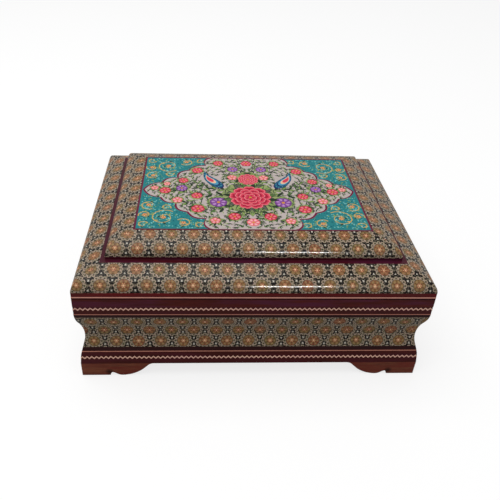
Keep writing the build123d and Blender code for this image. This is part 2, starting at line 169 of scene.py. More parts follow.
HALF_DEPTH = cad_box[1].y / MM


def node_box(name):
    """Lowest and highest corners of a CAD node, in millimetres."""
    low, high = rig.box(name)
    return low / MM, high / MM


def add_object(name, data):
    thing = bpy.data.objects.new(name, data)
    bpy.context.scene.collection.objects.link(thing)
    return thing


# Camera: a photograph of 500 x 500 pixels, taken from above and a little to the left
FRAME_PIXELS = 500
FOCAL_PIXELS = 560.29
OPTICAL_CENTRE = (230.0, 197.0)
CAMERA_PLACE = (-42.55, -410.05, 363.11)
CAMERA_YAW = 3.64
CAMERA_PITCH = 31.95
CAMERA_ROLL = -2.54
SENSOR = 36.0


def make_camera():
    yaw = math.radians(CAMERA_YAW)
    pitch = math.radians(CAMERA_PITCH)
    roll = math.radians(CAMERA_ROLL)
    level = math.cos(pitch)
    forward = Vector((math.sin(yaw) * level, math.cos(yaw) * level, -math.sin(pitch)))
    level_right = Vector((math.cos(yaw), -math.sin(yaw), 0))
    level_down = forward.cross(level_right)
    right = level_right * math.cos(roll) + level_down * math.sin(roll)
    down = level_down * math.cos(roll) - level_right * math.sin(roll)
    camera = add_object("camera", bpy.data.cameras.new("camera"))
    turn = Matrix((right, -down, -forward)).transposed().to_4x4()
    camera.matrix_world = Matrix.Translation(Vector(CAMERA_PLACE) * MM) @ turn
    camera.data.sensor_width = SENSOR
    camera.data.lens = FOCAL_PIXELS / FRAME_PIXELS * SENSOR
    camera.data.shift_x = 0.5 - OPTICAL_CENTRE[0] / FRAME_PIXELS
    camera.data.shift_y = OPTICAL_CENTRE[1] / FRAME_PIXELS - 0.5
    bpy.context.scene.camera = camera


make_camera()


def rgb(red, green, blue):
    """A colour as it looks on screen, 0 to 255, as the linear colour a shader takes."""
    linear = []
    for level in (red, green, blue):
        share = level / 255
        linear.append(share / 12.92 if share <= 0.04045 else ((share + 0.055) / 1.055) ** 2.4)
    return (*linear, 1.0)


# Shaders


class Value:
    """A socket of a shader. Arithmetic and comparisons on it add Math nodes."""

    def __init__(self, shader, socket):
        self.shader = shader
        self.socket = socket

    def maths(self, operation, *terms):
        return self.shader.add("Math", {"operation": operation}, dict(enumerate(terms)))

    def __add__(self, other):
        return self.maths("ADD", self, other)

    def __sub__(self, other):
        return self.maths("SUBTRACT", self, other)

    def __rsub__(self, other):
        return self.maths("SUBTRACT", other, self)

    def __mul__(self, other):
        return self.maths("MULTIPLY", self, other)

    def __truediv__(self, other):
        return self.maths("DIVIDE", self, other)

    def __lt__(self, other):
        return self.maths("LESS_THAN", self, other)

    def __gt__(self, other):
        return self.maths("GREATER_THAN", self, other)

    def __abs__(self):
        return self.maths("ABSOLUTE", self)

    def __round__(self):
        return self.maths("ROUND", self)

    def __floor__(self):
        return self.maths("FLOOR", self)

    def root(self):
        return self.maths("SQRT", self)

    def at_least(self, other):
        return self.maths("MAXIMUM", self, other)

    def at_most(self, other):
        return self.maths("MINIMUM", self, other)

    __radd__ = __add__
    __rmul__ = __mul__


class Shader:
    """The nodes of a material or of the world, under construction."""

    def __init__(self, name, blocks=bpy.data.materials, surface="Principled BSDF"):
        self.block = blocks.new(name)
        self.block.use_nodes = True
        self.tree = self.block.node_tree
        self.surface = self.tree.nodes[surface]

    def connect(self, value, socket):
        if isinstance(value, Value):
            self.tree.links.new(value.socket, socket)
        else:
            socket.default_value = value

    def add(self, kind, settings, inputs, output=0):
        """Adds a node of a kind, with its settings, then its inputs, and gives one output."""
        node = self.tree.nodes.new("ShaderNode" + kind)
        for name, setting in settings.items():
            if name == "stops":
                ramp = node.color_ramp
                while len(ramp.elements) < len(setting):
                    ramp.elements.new(1.0)
                for element, (position, colour) in zip(ramp.elements, setting):
                    element.position = position
                    element.color = colour
            else:
                setattr(node, name, setting)
        for key, value in inputs.items():
            self.connect(value, node.inputs[key])
        return Value(self, node.outputs[output])

    def blend(self, share, first, second):
        """The first colour where share is 0, the second where it is 1."""
        return self.add("Mix", {"data_type": "RGBA"}, {0: share, 6: first, 7: second}, 2)

    def shade(self, colour, level):
        """A colour made lighter or darker by a level around 1."""
        scaled = {0: colour, "Scale": level}
        return self.add("VectorMath", {"operation": "SCALE"}, scaled)

    def vector(self, x, y, z=0.0):
        return self.add("CombineXYZ", {}, {0: x, 1: y, 2: z})

    def parts(self, vector):
        x = self.add("SeparateXYZ", {}, {0: vector}, 0)
        split = self.tree.nodes[-1]
        return x, Value(self, split.outputs[1]), Value(self, split.outputs[2])

    def chance(self, vector):
        """A random level from 0 to 1 for each distinct vector."""
        return self.add("TexWhiteNoise", {}, {"Vector": vector})

    def cloud(self, vector, scale, detail=2.0, roughness=0.5):
        """Soft random level from 0 to 1."""
        inputs = {"Vector": vector, "Scale": scale, "Detail": detail, "Roughness": roughness}
        return self.add("TexNoise", {}, inputs)

    def spread(self, value, low, high, new_low=0.0, new_high=1.0):
        inputs = {0: value, 1: low, 2: high, 3: new_low, 4: new_high}
        return self.add("MapRange", {}, inputs)

    def place(self):
        """The point on the piece, in millimetres, as it lies at rest."""
        spot = self.add("TexCoord", {}, {}, 3)
        return self.add("VectorMath", {"operation": "SCALE"}, {0: spot, "Scale": 1 / MM})

    def bump(self, height, strength, distance):
        """Raises the surface by height, at a depth in millimetres."""
        inputs = {"Strength": strength, "Distance": distance * MM, "Height": height}
        self.set({"Normal": self.add("Bump", {}, inputs)})

    def set(self, sockets):
        for name, value in sockets.items():
            self.connect(value, self.surface.inputs[name])

    def finished(self, colour, roughness, others):
        """Sets what every finish has, and gives the material."""
        self.set({"Base Color": colour, "Roughness": roughness, **others})
        return self.block


def along_grain(shader):
    """Run, crossing and height of a point, with the run turned at each corner mitre."""
    x, y, z = shader.parts(shader.place())
    on_long_side = (abs(y) - HALF_DEPTH) > (abs(x) - HALF_LENGTH)
    run = y + (x - y) * on_long_side
    crossing = x + (y - x) * on_long_side
    return run, crossing, z


def finish_coat(specular, coat, roughness):
    """The sockets of a clear coat over wood or paint."""
    return {
        "Specular IOR Level": specular,
        "Coat Weight": coat,
        "Coat Roughness": roughness,
        "Coat IOR": 1.5,
    }


# Thick polished lacquer lies on the marquetry, a thin film on the plain strips, and a
# duller varnish on the painting
LACQUER = finish_coat(0.03, 0.18, 0.08)
THIN_LACQUER = finish_coat(0.06, 0.1, 0.12)
PAINT_VARNISH = finish_coat(0.02, 0.05, 0.3)

# Marquetry: staggered rows of rosettes, built up from small triangular rods. Lengths are
# in units of the spacing of the rosettes in a row.
RODS_PER_ROSETTE = 20
ROD_RISE = math.sqrt(3) / 2
ROD_JOINT = 0.045
HAND_DRIFT = 0.12
PETAL_REACH = 0.34
LID_ROW_RISE = 0.766
BODY_ROW_RISE = 0.673


def marquetry_material(name, row_rise):
    """The rosette pattern, on a UV map, for rows that are a given rise apart."""
    shader = Shader(name)
    spot = shader.add("UVMap", {"uv_map": "pattern"}, {})
    x, y, _ = shader.parts(spot)

    # The rosettes were laid by hand, so none is quite in its place
    drift_x = shader.cloud(shader.vector(x, y, 3.0), 1.1, 2.0)
    drift_y = shader.cloud(shader.vector(x, y, 8.0), 1.1, 2.0)
    x = x + (drift_x - 0.5) * HAND_DRIFT
    y = y + (drift_y - 0.5) * HAND_DRIFT

    # The rod that the point lies in: cells of a skewed grid, cut in two triangles
    skew_y = y * (RODS_PER_ROSETTE / ROD_RISE)
    skew_x = x * RODS_PER_ROSETTE - skew_y * 0.5
    cell_x = math.floor(skew_x)
    cell_y = math.floor(skew_y)
    part_x = skew_x - cell_x
    part_y = skew_y - cell_y
    upper = (part_x + part_y) > 1.0
    rod_x = cell_x + (upper + 1.0) / 3.0
    rod_y = cell_y + (upper + 1.0) / 3.0
    x = (rod_x + rod_y * 0.5) / RODS_PER_ROSETTE
    y = rod_y * (ROD_RISE / RODS_PER_ROSETTE)
    rod = shader.vector(round(rod_x * 3), round(rod_y * 3), 1.0)
    rod_chance = shader.chance(rod)

    # The nearest rosette, from two rectangular grids of them
    row_pair = 2 * row_rise
    even_x = x - round(x)
    even_y = y - round(y / row_pair) * row_pair
    odd_x = x - math.floor(x) - 0.5
    odd_y = y - (math.floor(y / row_pair) + 0.5) * row_pair
    even = (even_x * even_x + even_y * even_y) < (odd_x * odd_x + odd_y * odd_y)
    dx = odd_x + (even_x - odd_x) * even
    dy = odd_y + (even_y - odd_y) * even
    rosette = shader.vector(round((x - dx) * 2), round((y - dy) / row_rise), 0.0)
    radius = (dx * dx + dy * dy).root()
    dx = abs(dx)
    dy = abs(dy)

    def distance(at_x, at_y):
        off_x = dx - at_x
        off_y = dy - at_y
        return (off_x * off_x + off_y * off_y).root()

    # Three rosettes meet at a star, and two at a speck
    meeting = (row_rise * row_rise - 0.25) / (2 * row_rise)
    star = distance(0.5, meeting).at_most(distance(0.0, row_rise - meeting))
    speck = distance(0.5, 0.0).at_most(distance(0.25, row_rise / 2))

    # Fold the twelve mirror images of the rosette into one wedge of 30 degrees
    for angle in (60, 30):
        across_x = -math.sin(math.radians(angle))
        across_y = math.cos(math.radians(angle))
        over = (dx * across_x + dy * across_y).at_least(0.0)
        dx = dx - over * (2 * across_x)
        dy = dy - over * (2 * across_y)

    def along(reach, angle):
        turn = math.radians(angle)
        return distance(reach * math.cos(turn), reach * math.sin(turn))

    # A warm disc inside twelve pale scallops, on a near-black ground with a few grey rods
    petal_off = along(PETAL_REACH, 0).at_most(along(PETAL_REACH, 30))
    stops = [
        (0.0, rgb(146, 84, 62)),
        (0.3, rgb(152, 108, 68)),
        (0.6, rgb(124, 106, 64)),
        (1.0, rgb(144, 92, 78)),
    ]
    warm = shader.add("ValToRGB", {"stops": stops}, {0: shader.chance(rosette)})
    stops = [(0.0, rgb(142, 136, 110)), (0.5, rgb(172, 154, 132)), (1.0, rgb(192, 162, 148))]
    petal = shader.add("ValToRGB", {"stops": stops}, {0: rod_chance})
    ground = shader.blend(rod_chance > 0.8, rgb(20, 15, 12), rgb(104, 96, 80))
    zones = [
        (speck, 0.04, rgb(128, 116, 98)),
        (petal_off, 0.088, petal),
        (petal_off, 0.041, rgb(84, 78, 56)),
        (radius, 0.288, rgb(58, 46, 32)),
        (radius, 0.266, warm),
        (along(0.215, 30), 0.035, rgb(92, 76, 46)),
        (along(0.2, 0), 0.035, rgb(158, 130, 88)),
        (radius, 0.155, rgb(142, 106, 70)),
        (along(0.125, 30), 0.03, rgb(112, 54, 40)),
        (radius, 0.1, rgb(126, 66, 48)),
        (along(0.085, 0), 0.024, rgb(218, 156, 112)),
        (radius, 0.042, rgb(234, 196, 152)),
        (star, 0.047, rgb(208, 200, 186)),
    ]
    colour = ground
    for off, reach, paint in zones:
        colour = shader.blend(off < reach, colour, paint)

    # Each rod has its own tone, and a fine dark joint round it
    tone = shader.spread(shader.chance(shader.shade(rod, 1.7)), 0.0, 1.0, 0.78, 1.14)
    flip = 1.0 - upper * 2.0
    edge_x = upper + part_x * flip
    edge_y = upper + part_y * flip
    edge = edge_x.at_most(edge_y).at_most(1.0 - edge_x - edge_y)
    joint = edge < ROD_JOINT
    tone = tone * (1.0 - joint * 0.3)
    waves = shader.cloud(shader.place(), 0.16, 3.0)
    shader.bump(waves + joint * -0.02, 0.5, 0.12)
    roughness = shader.spread(waves, 0.3, 0.7, 0.22, 0.36)
    return shader.finished(shader.shade(colour, tone), roughness, LACQUER)


def veneer_material(name, deep, mid, light, blush, grain=1.0, gloss=0.3, stain=None):
    """Lacquered straight-grained wood along each side, with patches of a second hue.

    Painted shade darkens the wood round a point at a distance from each corner and a height, standing in for the
    shadow in a carved groove.
    """
    shader = Shader(name)
    run, crossing, height = along_grain(shader)
    fibres = shader.cloud(shader.vector(run * 0.05, crossing * 1.1, height * 1.1), 2.2, 6.0, 0.65)
    figure = shader.cloud(shader.vector(run * 0.02, crossing * 0.25, height * 0.25), 1.0, 3.0)
    patches = shader.cloud(shader.vector(run * 0.03, crossing * 0.3, height * 0.3), 0.9, 3.0, 0.6)
    stops = [(0.25, deep), (0.5, mid), (0.78, light)]
    colour = shader.add("ValToRGB", {"stops": stops}, {0: fibres * 0.65 + figure * 0.35})
    colour = shader.blend(shader.spread(patches, 0.42, 0.62, 0.0, 0.9), colour, blush)
    pores = shader.cloud(shader.vector(run * 0.25, crossing * 6.0, height * 6.0), 1.6, 2.0)
    pore = shader.spread(pores, 0.62, 0.72)
    colour = shader.shade(colour, 1.0 - pore * (0.35 * grain))
    # Painted shade: the wood darkens round this point, as a carved groove there would be in shadow
    if stain:
        x, y, z = shader.parts(shader.place())
        from_corner = (HALF_LENGTH - abs(x)).at_least(HALF_DEPTH - abs(y))
        off_along = from_corner - stain[0]
        off_up = z - stain[1]
        off = (off_along * off_along + off_up * off_up).root() + (fibres - 0.5) * 2.0
        colour = shader.shade(colour, shader.spread(off, 1.0, 4.0, 0.22, 1.0))
    shader.bump(fibres * 0.4 + pore * -0.5, 0.4 * grain, 0.08)
    roughness = shader.spread(fibres, 0.3, 0.7, gloss - 0.05, gloss + 0.08)
    return shader.finished(colour, roughness, THIN_LACQUER)


def striped_line_material(name):
    """Stringing: a pale strip between two brown ones, glued up before it was laid."""
    shader = Shader(name)
    run, crossing, height = along_grain(shader)
    fibres = shader.cloud(shader.vector(run * 0.04, crossing, height), 3.0, 4.0, 0.6)
    node, edge_colour, core_colour, core_low, core_high = STRINGING[name]
    low, high = node_box(node)
    level = (height - low.z) / (high.z - low.z)
    colour = shader.blend(level < core_high, edge_colour, core_colour)
    colour = shader.blend(level < core_low, colour, edge_colour)
    # Painted shadow: the bottom of the lid's stringing, below its lower brown strip, is near-black, as the shadow in
    # the gap between lid and box
    colour = shader.blend(level < core_low - 0.2, colour, rgb(22, 6, 6))
    colour = shader.shade(colour, shader.spread(fibres, 0.25, 0.75, 0.76, 1.2))
    shader.bump(fibres, 0.3, 0.05)
    return shader.finished(colour, shader.spread(fibres, 0.3, 0.7, 0.28, 0.38), THIN_LACQUER)


def plain_wood_material(name, deep, light):
    """Planed wood with an oiled finish, seen only inside and underneath."""
    shader = Shader(name)
    run, crossing, height = along_grain(shader)
    figure = shader.vector(run * 0.02, crossing * 0.3, height * 0.3)
    rings = shader.add(
        "TexWave",
        {"wave_type": "BANDS", "bands_direction": "Y"},
        {"Vector": figure, "Scale": 0.5, "Distortion": 5.0, "Detail": 3.0, "Detail Scale": 0.8},
        1,
    )
    fibres = shader.cloud(shader.vector(run * 0.06, crossing * 2.0, height * 2.0), 2.0, 5.0, 0.65)
    colour = shader.blend(rings * 0.45 + fibres * 0.55, deep, light)
    shader.bump(fibres, 0.5, 0.08)
    roughness = shader.spread(fibres, 0.3, 0.7, 0.48, 0.64)
    return shader.finished(colour, roughness, {"Specular IOR Level": 0.3})


def velvet_material():
    """Short-pile velvet: pile that leans here and there, and a fine nap."""
    shader = Shader("crimson_velvet")
    place = shader.place()
    lean = shader.cloud(place, 0.045, 3.0, 0.6)
    nap = shader.cloud(place, 2.6, 2.0)
    colour = shader.blend(shader.spread(lean, 0.3, 0.7), rgb(92, 14, 25), rgb(118, 20, 33))
    colour = shader.shade(colour, shader.spread(nap, 0.2, 0.8, 0.78, 1.2))
    shader.bump(nap + lean * 0.6, 0.6, 0.25)
    sheen = {"Sheen Weight": 0.5, "Sheen Roughness": 0.35, "Sheen Tint": rgb(226, 120, 130)}
    roughness = shader.spread(lean, 0.3, 0.7, 0.82, 0.95)
    return shader.finished(colour, roughness, {"Specular IOR Level": 0.15, **sheen})


def brass_material(name, metal=(184, 150, 92)):
    """Drawn brass with fine scratches and dull patches."""
    shader = Shader(name)
    x, y, z = shader.parts(shader.place())
    dull = shader.cloud(shader.vector(x, y, z), 0.35, 4.0, 0.6)
    lines = shader.cloud(shader.vector(x * 0.3, y * 9.0, z * 9.0), 1.2, 3.0)
    tarnish = shader.spread(dull, 0.45, 0.75)
    shader.bump(lines, 0.25, 0.03)
    colour = shader.blend(tarnish, rgb(*metal), rgb(128, 98, 56))
    return shader.finished(colour, shader.spread(dull, 0.3, 0.7, 0.24, 0.42), {"Metallic": 1.0})


def painted_material():
    """Opaque colours under lacquer; the colour comes from the painted outlines."""
    shader = Shader("painted_panel")
    paint = shader.add("VertexColor", {"layer_name": "paint"}, {})
    place = shader.place()
    x, y, z = shader.parts(place)
    thin = shader.cloud(place, 0.22, 4.0, 0.6)
    hairs = shader.cloud(shader.vector(x * 0.5, y * 3.0, z), 1.1, 3.0)
    specks = shader.cloud(place, 1.6, 2.0)
    tone = shader.spread(thin, 0.3, 0.7, 0.9, 1.08) + (specks - 0.5) * 0.16 + (hairs - 0.5) * 0.12
    shader.bump(thin + hairs * 0.2, 0.3, 0.1)
    roughness = shader.spread(thin, 0.3, 0.7, 0.3, 0.42)
    return shader.finished(shader.shade(paint, tone), roughness, PAINT_VARNISH)


# Each stringing's node, its brown, its pale, and between which shares of its height the
# pale strip lies
STRINGING = {
    "lid_line_stringing": ("lid_light_line", rgb(92, 28, 26), rgb(230, 166, 148), 0.46, 0.9),
    "upper_line_stringing": ("upper_light_line", rgb(60, 22, 18), rgb(196, 128, 112), 0.1, 0.82),
    "lower_line_stringing": ("lower_light_line", rgb(70, 24, 22), rgb(198, 134, 114), 0.2, 0.74),
}

lid_marquetry = marquetry_material("lid_marquetry", LID_ROW_RISE)
body_marquetry = marquetry_material("body_marquetry", BODY_ROW_RISE)

# The deep, middle and light tone of each veneer, and the hue of its patches
VENEER_TONES = {
    "crimson_stringing": ((64, 8, 12), (100, 14, 18), (130, 24, 28), (84, 26, 24)),
    "dark_banding": ((28, 6, 6), (42, 10, 10), (60, 18, 18), (48, 20, 22)),
    "purple_rim": ((50, 12, 12), (78, 22, 18), (106, 36, 30), (84, 30, 52)),
    "plum_ledge": ((44, 8, 14), (68, 13, 22), (92, 24, 36), (70, 22, 44)),
    "zigzag_ground": ((44, 12, 9), (66, 19, 15), (92, 34, 26), (74, 22, 30)),
    "picture_line": ((74, 8, 30), (100, 14, 40), (122, 30, 54), (92, 24, 60)),
    "foot_wood": ((66, 34, 24), (116, 62, 44), (146, 86, 58), (112, 44, 34)),
    "pale_zigzag": ((208, 158, 136), (238, 190, 168), (248, 214, 192), (228, 178, 162)),
}
# The feet have coarser grain, and painted shade at their notches, as of a carved groove in shadow
FOOT_FINISH = {"grain": 1.4, "gloss": 0.34, "stain": (22.0, 3.8)}
veneers = {}
for name, tones in VENEER_TONES.items():
    finish = FOOT_FINISH if name == "foot_wood" else {}
    veneers[name] = veneer_material(name, *[rgb(*tone) for tone in tones], **finish)
stringing = {name: striped_line_material(name) for name in STRINGING}
core_wood = plain_wood_material("core_wood", rgb(150, 104, 66), rgb(196, 152, 104))
board_wood = plain_wood_material("board_wood", rgb(132, 92, 58), rgb(178, 136, 94))
velvet = velvet_material()
brass = brass_material("hinge_brass")
screw_brass = brass_material("screw_brass", (204, 170, 108))
painted_finish = painted_material()

# Meshes
CREASE_ANGLE = math.radians(30)
EDGE_ANGLE = math.radians(40)


def make_piece(name, points, faces, material, body, slot, coordinates=None, rounding=0.0):
    """A mesh piece from points in millimetres. Coordinates give each face corner's UV."""
    mesh = bpy.data.meshes.new(name)
    mesh.from_pydata([Vector(point) * MM for point in points], [], faces)
    if coordinates:
        layer = mesh.uv_layers.new(name="pattern")
        for polygon, corners in zip(mesh.polygons, coordinates):
            for loop, corner in zip(polygon.loop_indices, corners):
                layer.data[loop].uv = corner
    edit = bmesh.new()
    edit.from_mesh(mesh)
    bmesh.ops.recalc_face_normals(edit, faces=edit.faces)
    edit.to_mesh(mesh)
    edit.free()
    mesh.materials.append(material)
    mesh.shade_smooth()
    mesh.set_sharp_from_angle(angle=CREASE_ANGLE)
    piece = add_object(name, mesh)
    if rounding:
        bevel = piece.modifiers.new("rounding", "BEVEL")
        bevel.width = rounding * MM
        bevel.segments = 2
        bevel.limit_method = "ANGLE"
        bevel.angle_limit = EDGE_ANGLE
        bevel.harden_normals = True
    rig.slot(piece, slot)
    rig.ride(piece, body)
    return piece


CORNERS = [(-1, -1), (1, -1), (1, 1), (-1, 1)]
SIDE_NAMES = ["front", "right", "back", "left"]


def lengths_along(section):
    """Distance from the first point of a section to each of its points."""
    lengths = [0.0]
    for first, second in zip(section, section[1:]):
        lengths.append(lengths[-1] + math.dist(first, second))
    return lengths


def mitred(section, sides, to_pattern):
    """Points, faces and UVs of a closed section carried round the box, or along some sides."""
    count = len(section)
    lengths = lengths_along(section + section[:1])
    points = []
    for inset, height in section:
        for sign_x, sign_y in CORNERS:
            across = sign_x * (HALF_LENGTH - inset)
            deep = sign_y * (HALF_DEPTH - inset)
            points.append((across, deep, height))
    faces = []
    coordinates = []
    for side in sides:
        half = HALF_DEPTH if side % 2 else HALF_LENGTH
        after = (side + 1) % 4
        for i in range(count):
            j = (i + 1) % count
            faces.append((i * 4 + side, i * 4 + after, j * 4 + after, j * 4 + side))
            near_run = half - section[i][0]
            far_run = half - section[j][0]
            coordinates.append(
                [
                    to_pattern(-near_run, lengths[i]),
                    to_pattern(near_run, lengths[i]),
                    to_pattern(far_run, lengths[i + 1]),
                    to_pattern(-far_run, lengths[i + 1]),
                ]
            )
        if len(sides) == 1:
            for corner in (side, after):
                faces.append([i * 4 + corner for i in range(count)])
                coordinates.append([to_pattern(half, lengths[i]) for i in range(count)])
    if len(sides) == 1:
        used = sorted({index for face in faces for index in face})
        order = {index: place for place, index in enumerate(used)}
        points = [points[index] for index in used]
        faces = [[order[index] for index in face] for face in faces]
    return points, faces, coordinates


def as_drawn(run, length):
    return (run, length)


def ring(name, section, material, body, slot, node, rounding):
    """A banding that runs round all four sides."""
    points, faces, coordinates = mitred(section, range(4), as_drawn)
    piece = make_piece(name, points, faces, material, body, slot, coordinates, rounding)
    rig.replaces(piece, node)


def on_curve(a, b, c, d, t):
    """One coordinate between knots b and c, at a share t of the way."""
    return 0.5 * (
        2 * b + (c - a) * t + (2 * a - 5 * b + 4 * c - d) * t * t + (3 * b - a - 3 * c + d) * t**3
    )


def smooth_path(knots, steps=5):
    """A curve through all knots."""
    ends = [knots[0], *knots, knots[-1]]
    path = []
    for quartet in zip(ends, ends[1:], ends[2:], ends[3:]):
        for i in range(steps):
            path.append(tuple(on_curve(*levels, i / steps) for levels in zip(*quartet)))
    return path + [tuple(knots[-1])]


def on_side(side, end, along, inset, height):
    """A point at a distance along a side from one of its corners, and inset from its face."""
    across = HALF_LENGTH - along
    deep = HALF_DEPTH - along
    places = [
        (end * across, inset - HALF_DEPTH, height),
        (HALF_LENGTH - inset, end * deep, height),
        (-end * across, HALF_DEPTH - inset, height),
        (inset - HALF_LENGTH, -end * deep, height),
    ]
    return places[side]


def polar(centre, reach, angle):
    return (centre[0] + reach * math.cos(angle), centre[1] + reach * math.sin(angle))


# Profiles
VENEER = 1.5
ARC_STEP = 3.0


def arc_points(centre, radius, start, turn):
    """Points of an arc about a centre, from an angle and through a turn, in degrees."""
    steps = max(2, round(abs(turn) / ARC_STEP))
    turns = [math.radians(start + turn * i / steps) for i in range(steps + 1)]
    return [polar(centre, radius, angle) for angle in turns]


def crown_points(inset, height, nose, nose_turn, back, back_turn, under):
    """A bullnose that rises upright and rolls over into a long flat arc."""
    turn = math.radians(nose_turn)
    nose_x = inset + nose
    back_x = nose_x + (back - nose) * math.cos(turn)
    back_z = height - (back - nose) * math.sin(turn)
    points = arc_points((nose_x, height), nose - under, 180, -nose_turn)
    flat = arc_points((back_x, back_z), back - under, 180 - nose_turn, -back_turn)
    return points + flat[1:]


def tangent_arc(start, end, heading):
    """Points of the arc that leaves start along a heading and reaches end."""
    chord = Vector(end) - Vector(start)
    bend = math.atan2(
        heading[0] * chord.y - heading[1] * chord.x, heading[0] * chord.x + heading[1] * chord.y
    )
    steps = 10
    points = []
    for i in range(steps + 1):
        part = i / steps
        if abs(bend) < 1e-6:
            points.append(tuple(Vector(start) + chord * part))
            continue
        swing = 2 * bend * part
        reach = chord.length * math.sin(bend * part) / math.sin(bend)
        way = math.atan2(heading[1], heading[0]) + swing / 2
        points.append(polar(start, reach, way))
    return points


def body_profile():
    """The hollow side of the body, from the base band up to the zigzag band."""
    waist_inset = 5.2
    waist_rise = 11.5
    hollow_radius = 30.0
    hollow_turn = math.radians(20)
    upper_share = 0.57
    waist = (waist_inset, node_box("body_marquetry_front")[0].z + waist_rise)
    top = (0.0, node_box("upper_light_line")[1].z)
    flare = (
        waist[0] - hollow_radius * (1 - math.cos(hollow_turn)),
        waist[1] - hollow_radius * math.sin(hollow_turn),
    )
    band_top = (1.0, node_box("lower_mid_strip")[0].z)
    swell = (
        waist[0] + (top[0] - waist[0]) * upper_share,
        waist[1] + (top[1] - waist[1]) * upper_share,
    )
    flare_heading = (math.sin(hollow_turn), math.cos(hollow_turn))
    down_heading = (-flare_heading[0], -flare_heading[1])
    chord = Vector(swell) - Vector(waist)
    swell_heading_angle = 2 * math.atan2(chord.y, chord.x) - math.pi / 2
    swell_heading = (math.cos(swell_heading_angle), math.sin(swell_heading_angle))
    lower = tangent_arc(flare, band_top, down_heading)[::-1]
    hollow = tangent_arc(waist, flare, (0, -1))[::-1]
    upper = tangent_arc(waist, swell, (0, 1))
    shoulder = tangent_arc(swell, top, swell_heading)
    return lower[:-1] + hollow[:-1] + upper[:-1] + shoulder


BODY_PROFILE = body_profile()


def body_curve(low, high):
    """The part of the body's profile between two levels, from the bottom up."""

    def at(level):
        for (inset, height), (next_inset, next_height) in zip(BODY_PROFILE, BODY_PROFILE[1:]):
            if height <= level <= next_height:
                part = (level - height) / (next_height - height)
                return (inset + (next_inset - inset) * part, level)
        nearest = BODY_PROFILE[0 if level < BODY_PROFILE[0][1] else -1]
        return (nearest[0], level)

    between = [point for point in BODY_PROFILE if low + 0.05 < point[1] < high - 0.05]
    return [at(low)] + between + [at(high)]


def body_section(low, high):
    """A veneer on the body between two levels, closed behind."""
    curve = body_curve(low, high)
    return curve + [(inset + VENEER, height) for inset, height in reversed(curve)]


def band_levels(node):
    low, high = node_box(node)
    return low.z, high.z


BODY_BANDS = {
    "lower_mid_strip": (veneers["zigzag_ground"], "dark_wood"),
    "lower_light_line": (stringing["lower_line_stringing"], "pale_line"),
    "lower_dark_strip": (veneers["dark_banding"], "dark_wood"),
    "upper_dark_strip": (veneers["dark_banding"], "dark_wood"),
    "upper_light_line": (stringing["upper_line_stringing"], "pale_line"),
}
for node, (material, slot) in BODY_BANDS.items():
    ring(f"{node}_banding", body_section(*band_levels(node)), material, "box", slot, node, 0.12)

# Zigzag bands: a ground, and a thin pale ribbon let into it
RIBBON_PITCH = 3.7
RIBBON_STROKE = 1.3
RIBBON_SWING = 0.76
RIBBON_DEPTH = 0.7
RIBBON_PROUD = 0.08


def zigzag_band(level, low_inset, high_inset):
    """One band; its face leans from its low inset to its high one."""
    low, high = band_levels(f"{level}_zigzag_ground")
    ribbon_low, ribbon_high = band_levels(f"{level}_zigzag")
    section = [
        (low_inset, low),
        (high_inset, high),
        (high_inset + VENEER, high),
        (low_inset + VENEER, low),
    ]
    ground = f"{level}_zigzag_ground"
    ground_wood = veneers["zigzag_ground"]
    ring(f"{ground}_banding", section, ground_wood, "box", "dark_wood", ground, 0.1)

    swing = (ribbon_high - ribbon_low - RIBBON_STROKE) / 2 * RIBBON_SWING
    middle = (ribbon_low + ribbon_high) / 2
    points = []
    faces = []
    for side in range(4):
        length = 2 * (HALF_DEPTH if side % 2 else HALF_LENGTH)
        turns = 2 * round(length / RIBBON_PITCH)
        for i in range(turns + 1):
            centre = middle + (swing if i % 2 else -swing)
            for depth in (-RIBBON_PROUD, RIBBON_DEPTH):
                for height in (centre - RIBBON_STROKE / 2, centre + RIBBON_STROKE / 2):
                    lean = (height - low) / (high - low)
                    inset = low_inset + (high_inset - low_inset) * lean + depth
                    along = min(max(length * i / turns, inset), length - inset)
                    points.append(on_side(side, 1, along, inset, height))
        first = len(points) - 4 * (turns + 1)
        for i in range(turns):
            at = first + 4 * i
            for a, b in ((0, 1), (1, 3), (3, 2), (2, 0)):
                faces.append((at + a, at + b, at + 4 + b, at + 4 + a))
        faces.append([first + i for i in (0, 1, 3, 2)])
        faces.append([len(points) - 4 + i for i in (0, 1, 3, 2)])
    ribbon = f"{level}_zigzag"
    pale_wood = veneers["pale_zigzag"]
    piece = make_piece(f"{ribbon}_ribbon", points, faces, pale_wood, "box", "pale_wood")
    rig.replaces(piece, ribbon)


zigzag_band("upper", 0.1, 0.1)
zigzag_band("lower", 0.15, 1.05)

# Bracket feet: two arms meet in a mitre at each corner. "Along" is the distance from the
# corner along the arm.
FOOT_TOP = (0.2, node_box("foot_front_left")[1].z)
FOOT_TOE_INSET = 0.3
FOOT_BACK_INSET = 8.2
FOOT_LENGTH = 57.0
NOTCH_KNOTS = [(22.6, 0), (23, 1.7), (24, 3.1), (25.4, 3.0), (27.4, 1.8), (29.4, 0.6), (31.6, 0)]
BRACKET_KNOTS = [(35, 0.2), (40.5, 1.6), (46.5, 4.9), (51, 9.2), (54, 12.2)]
BRACKET_KNOTS.append((FOOT_LENGTH, FOOT_TOP[1]))


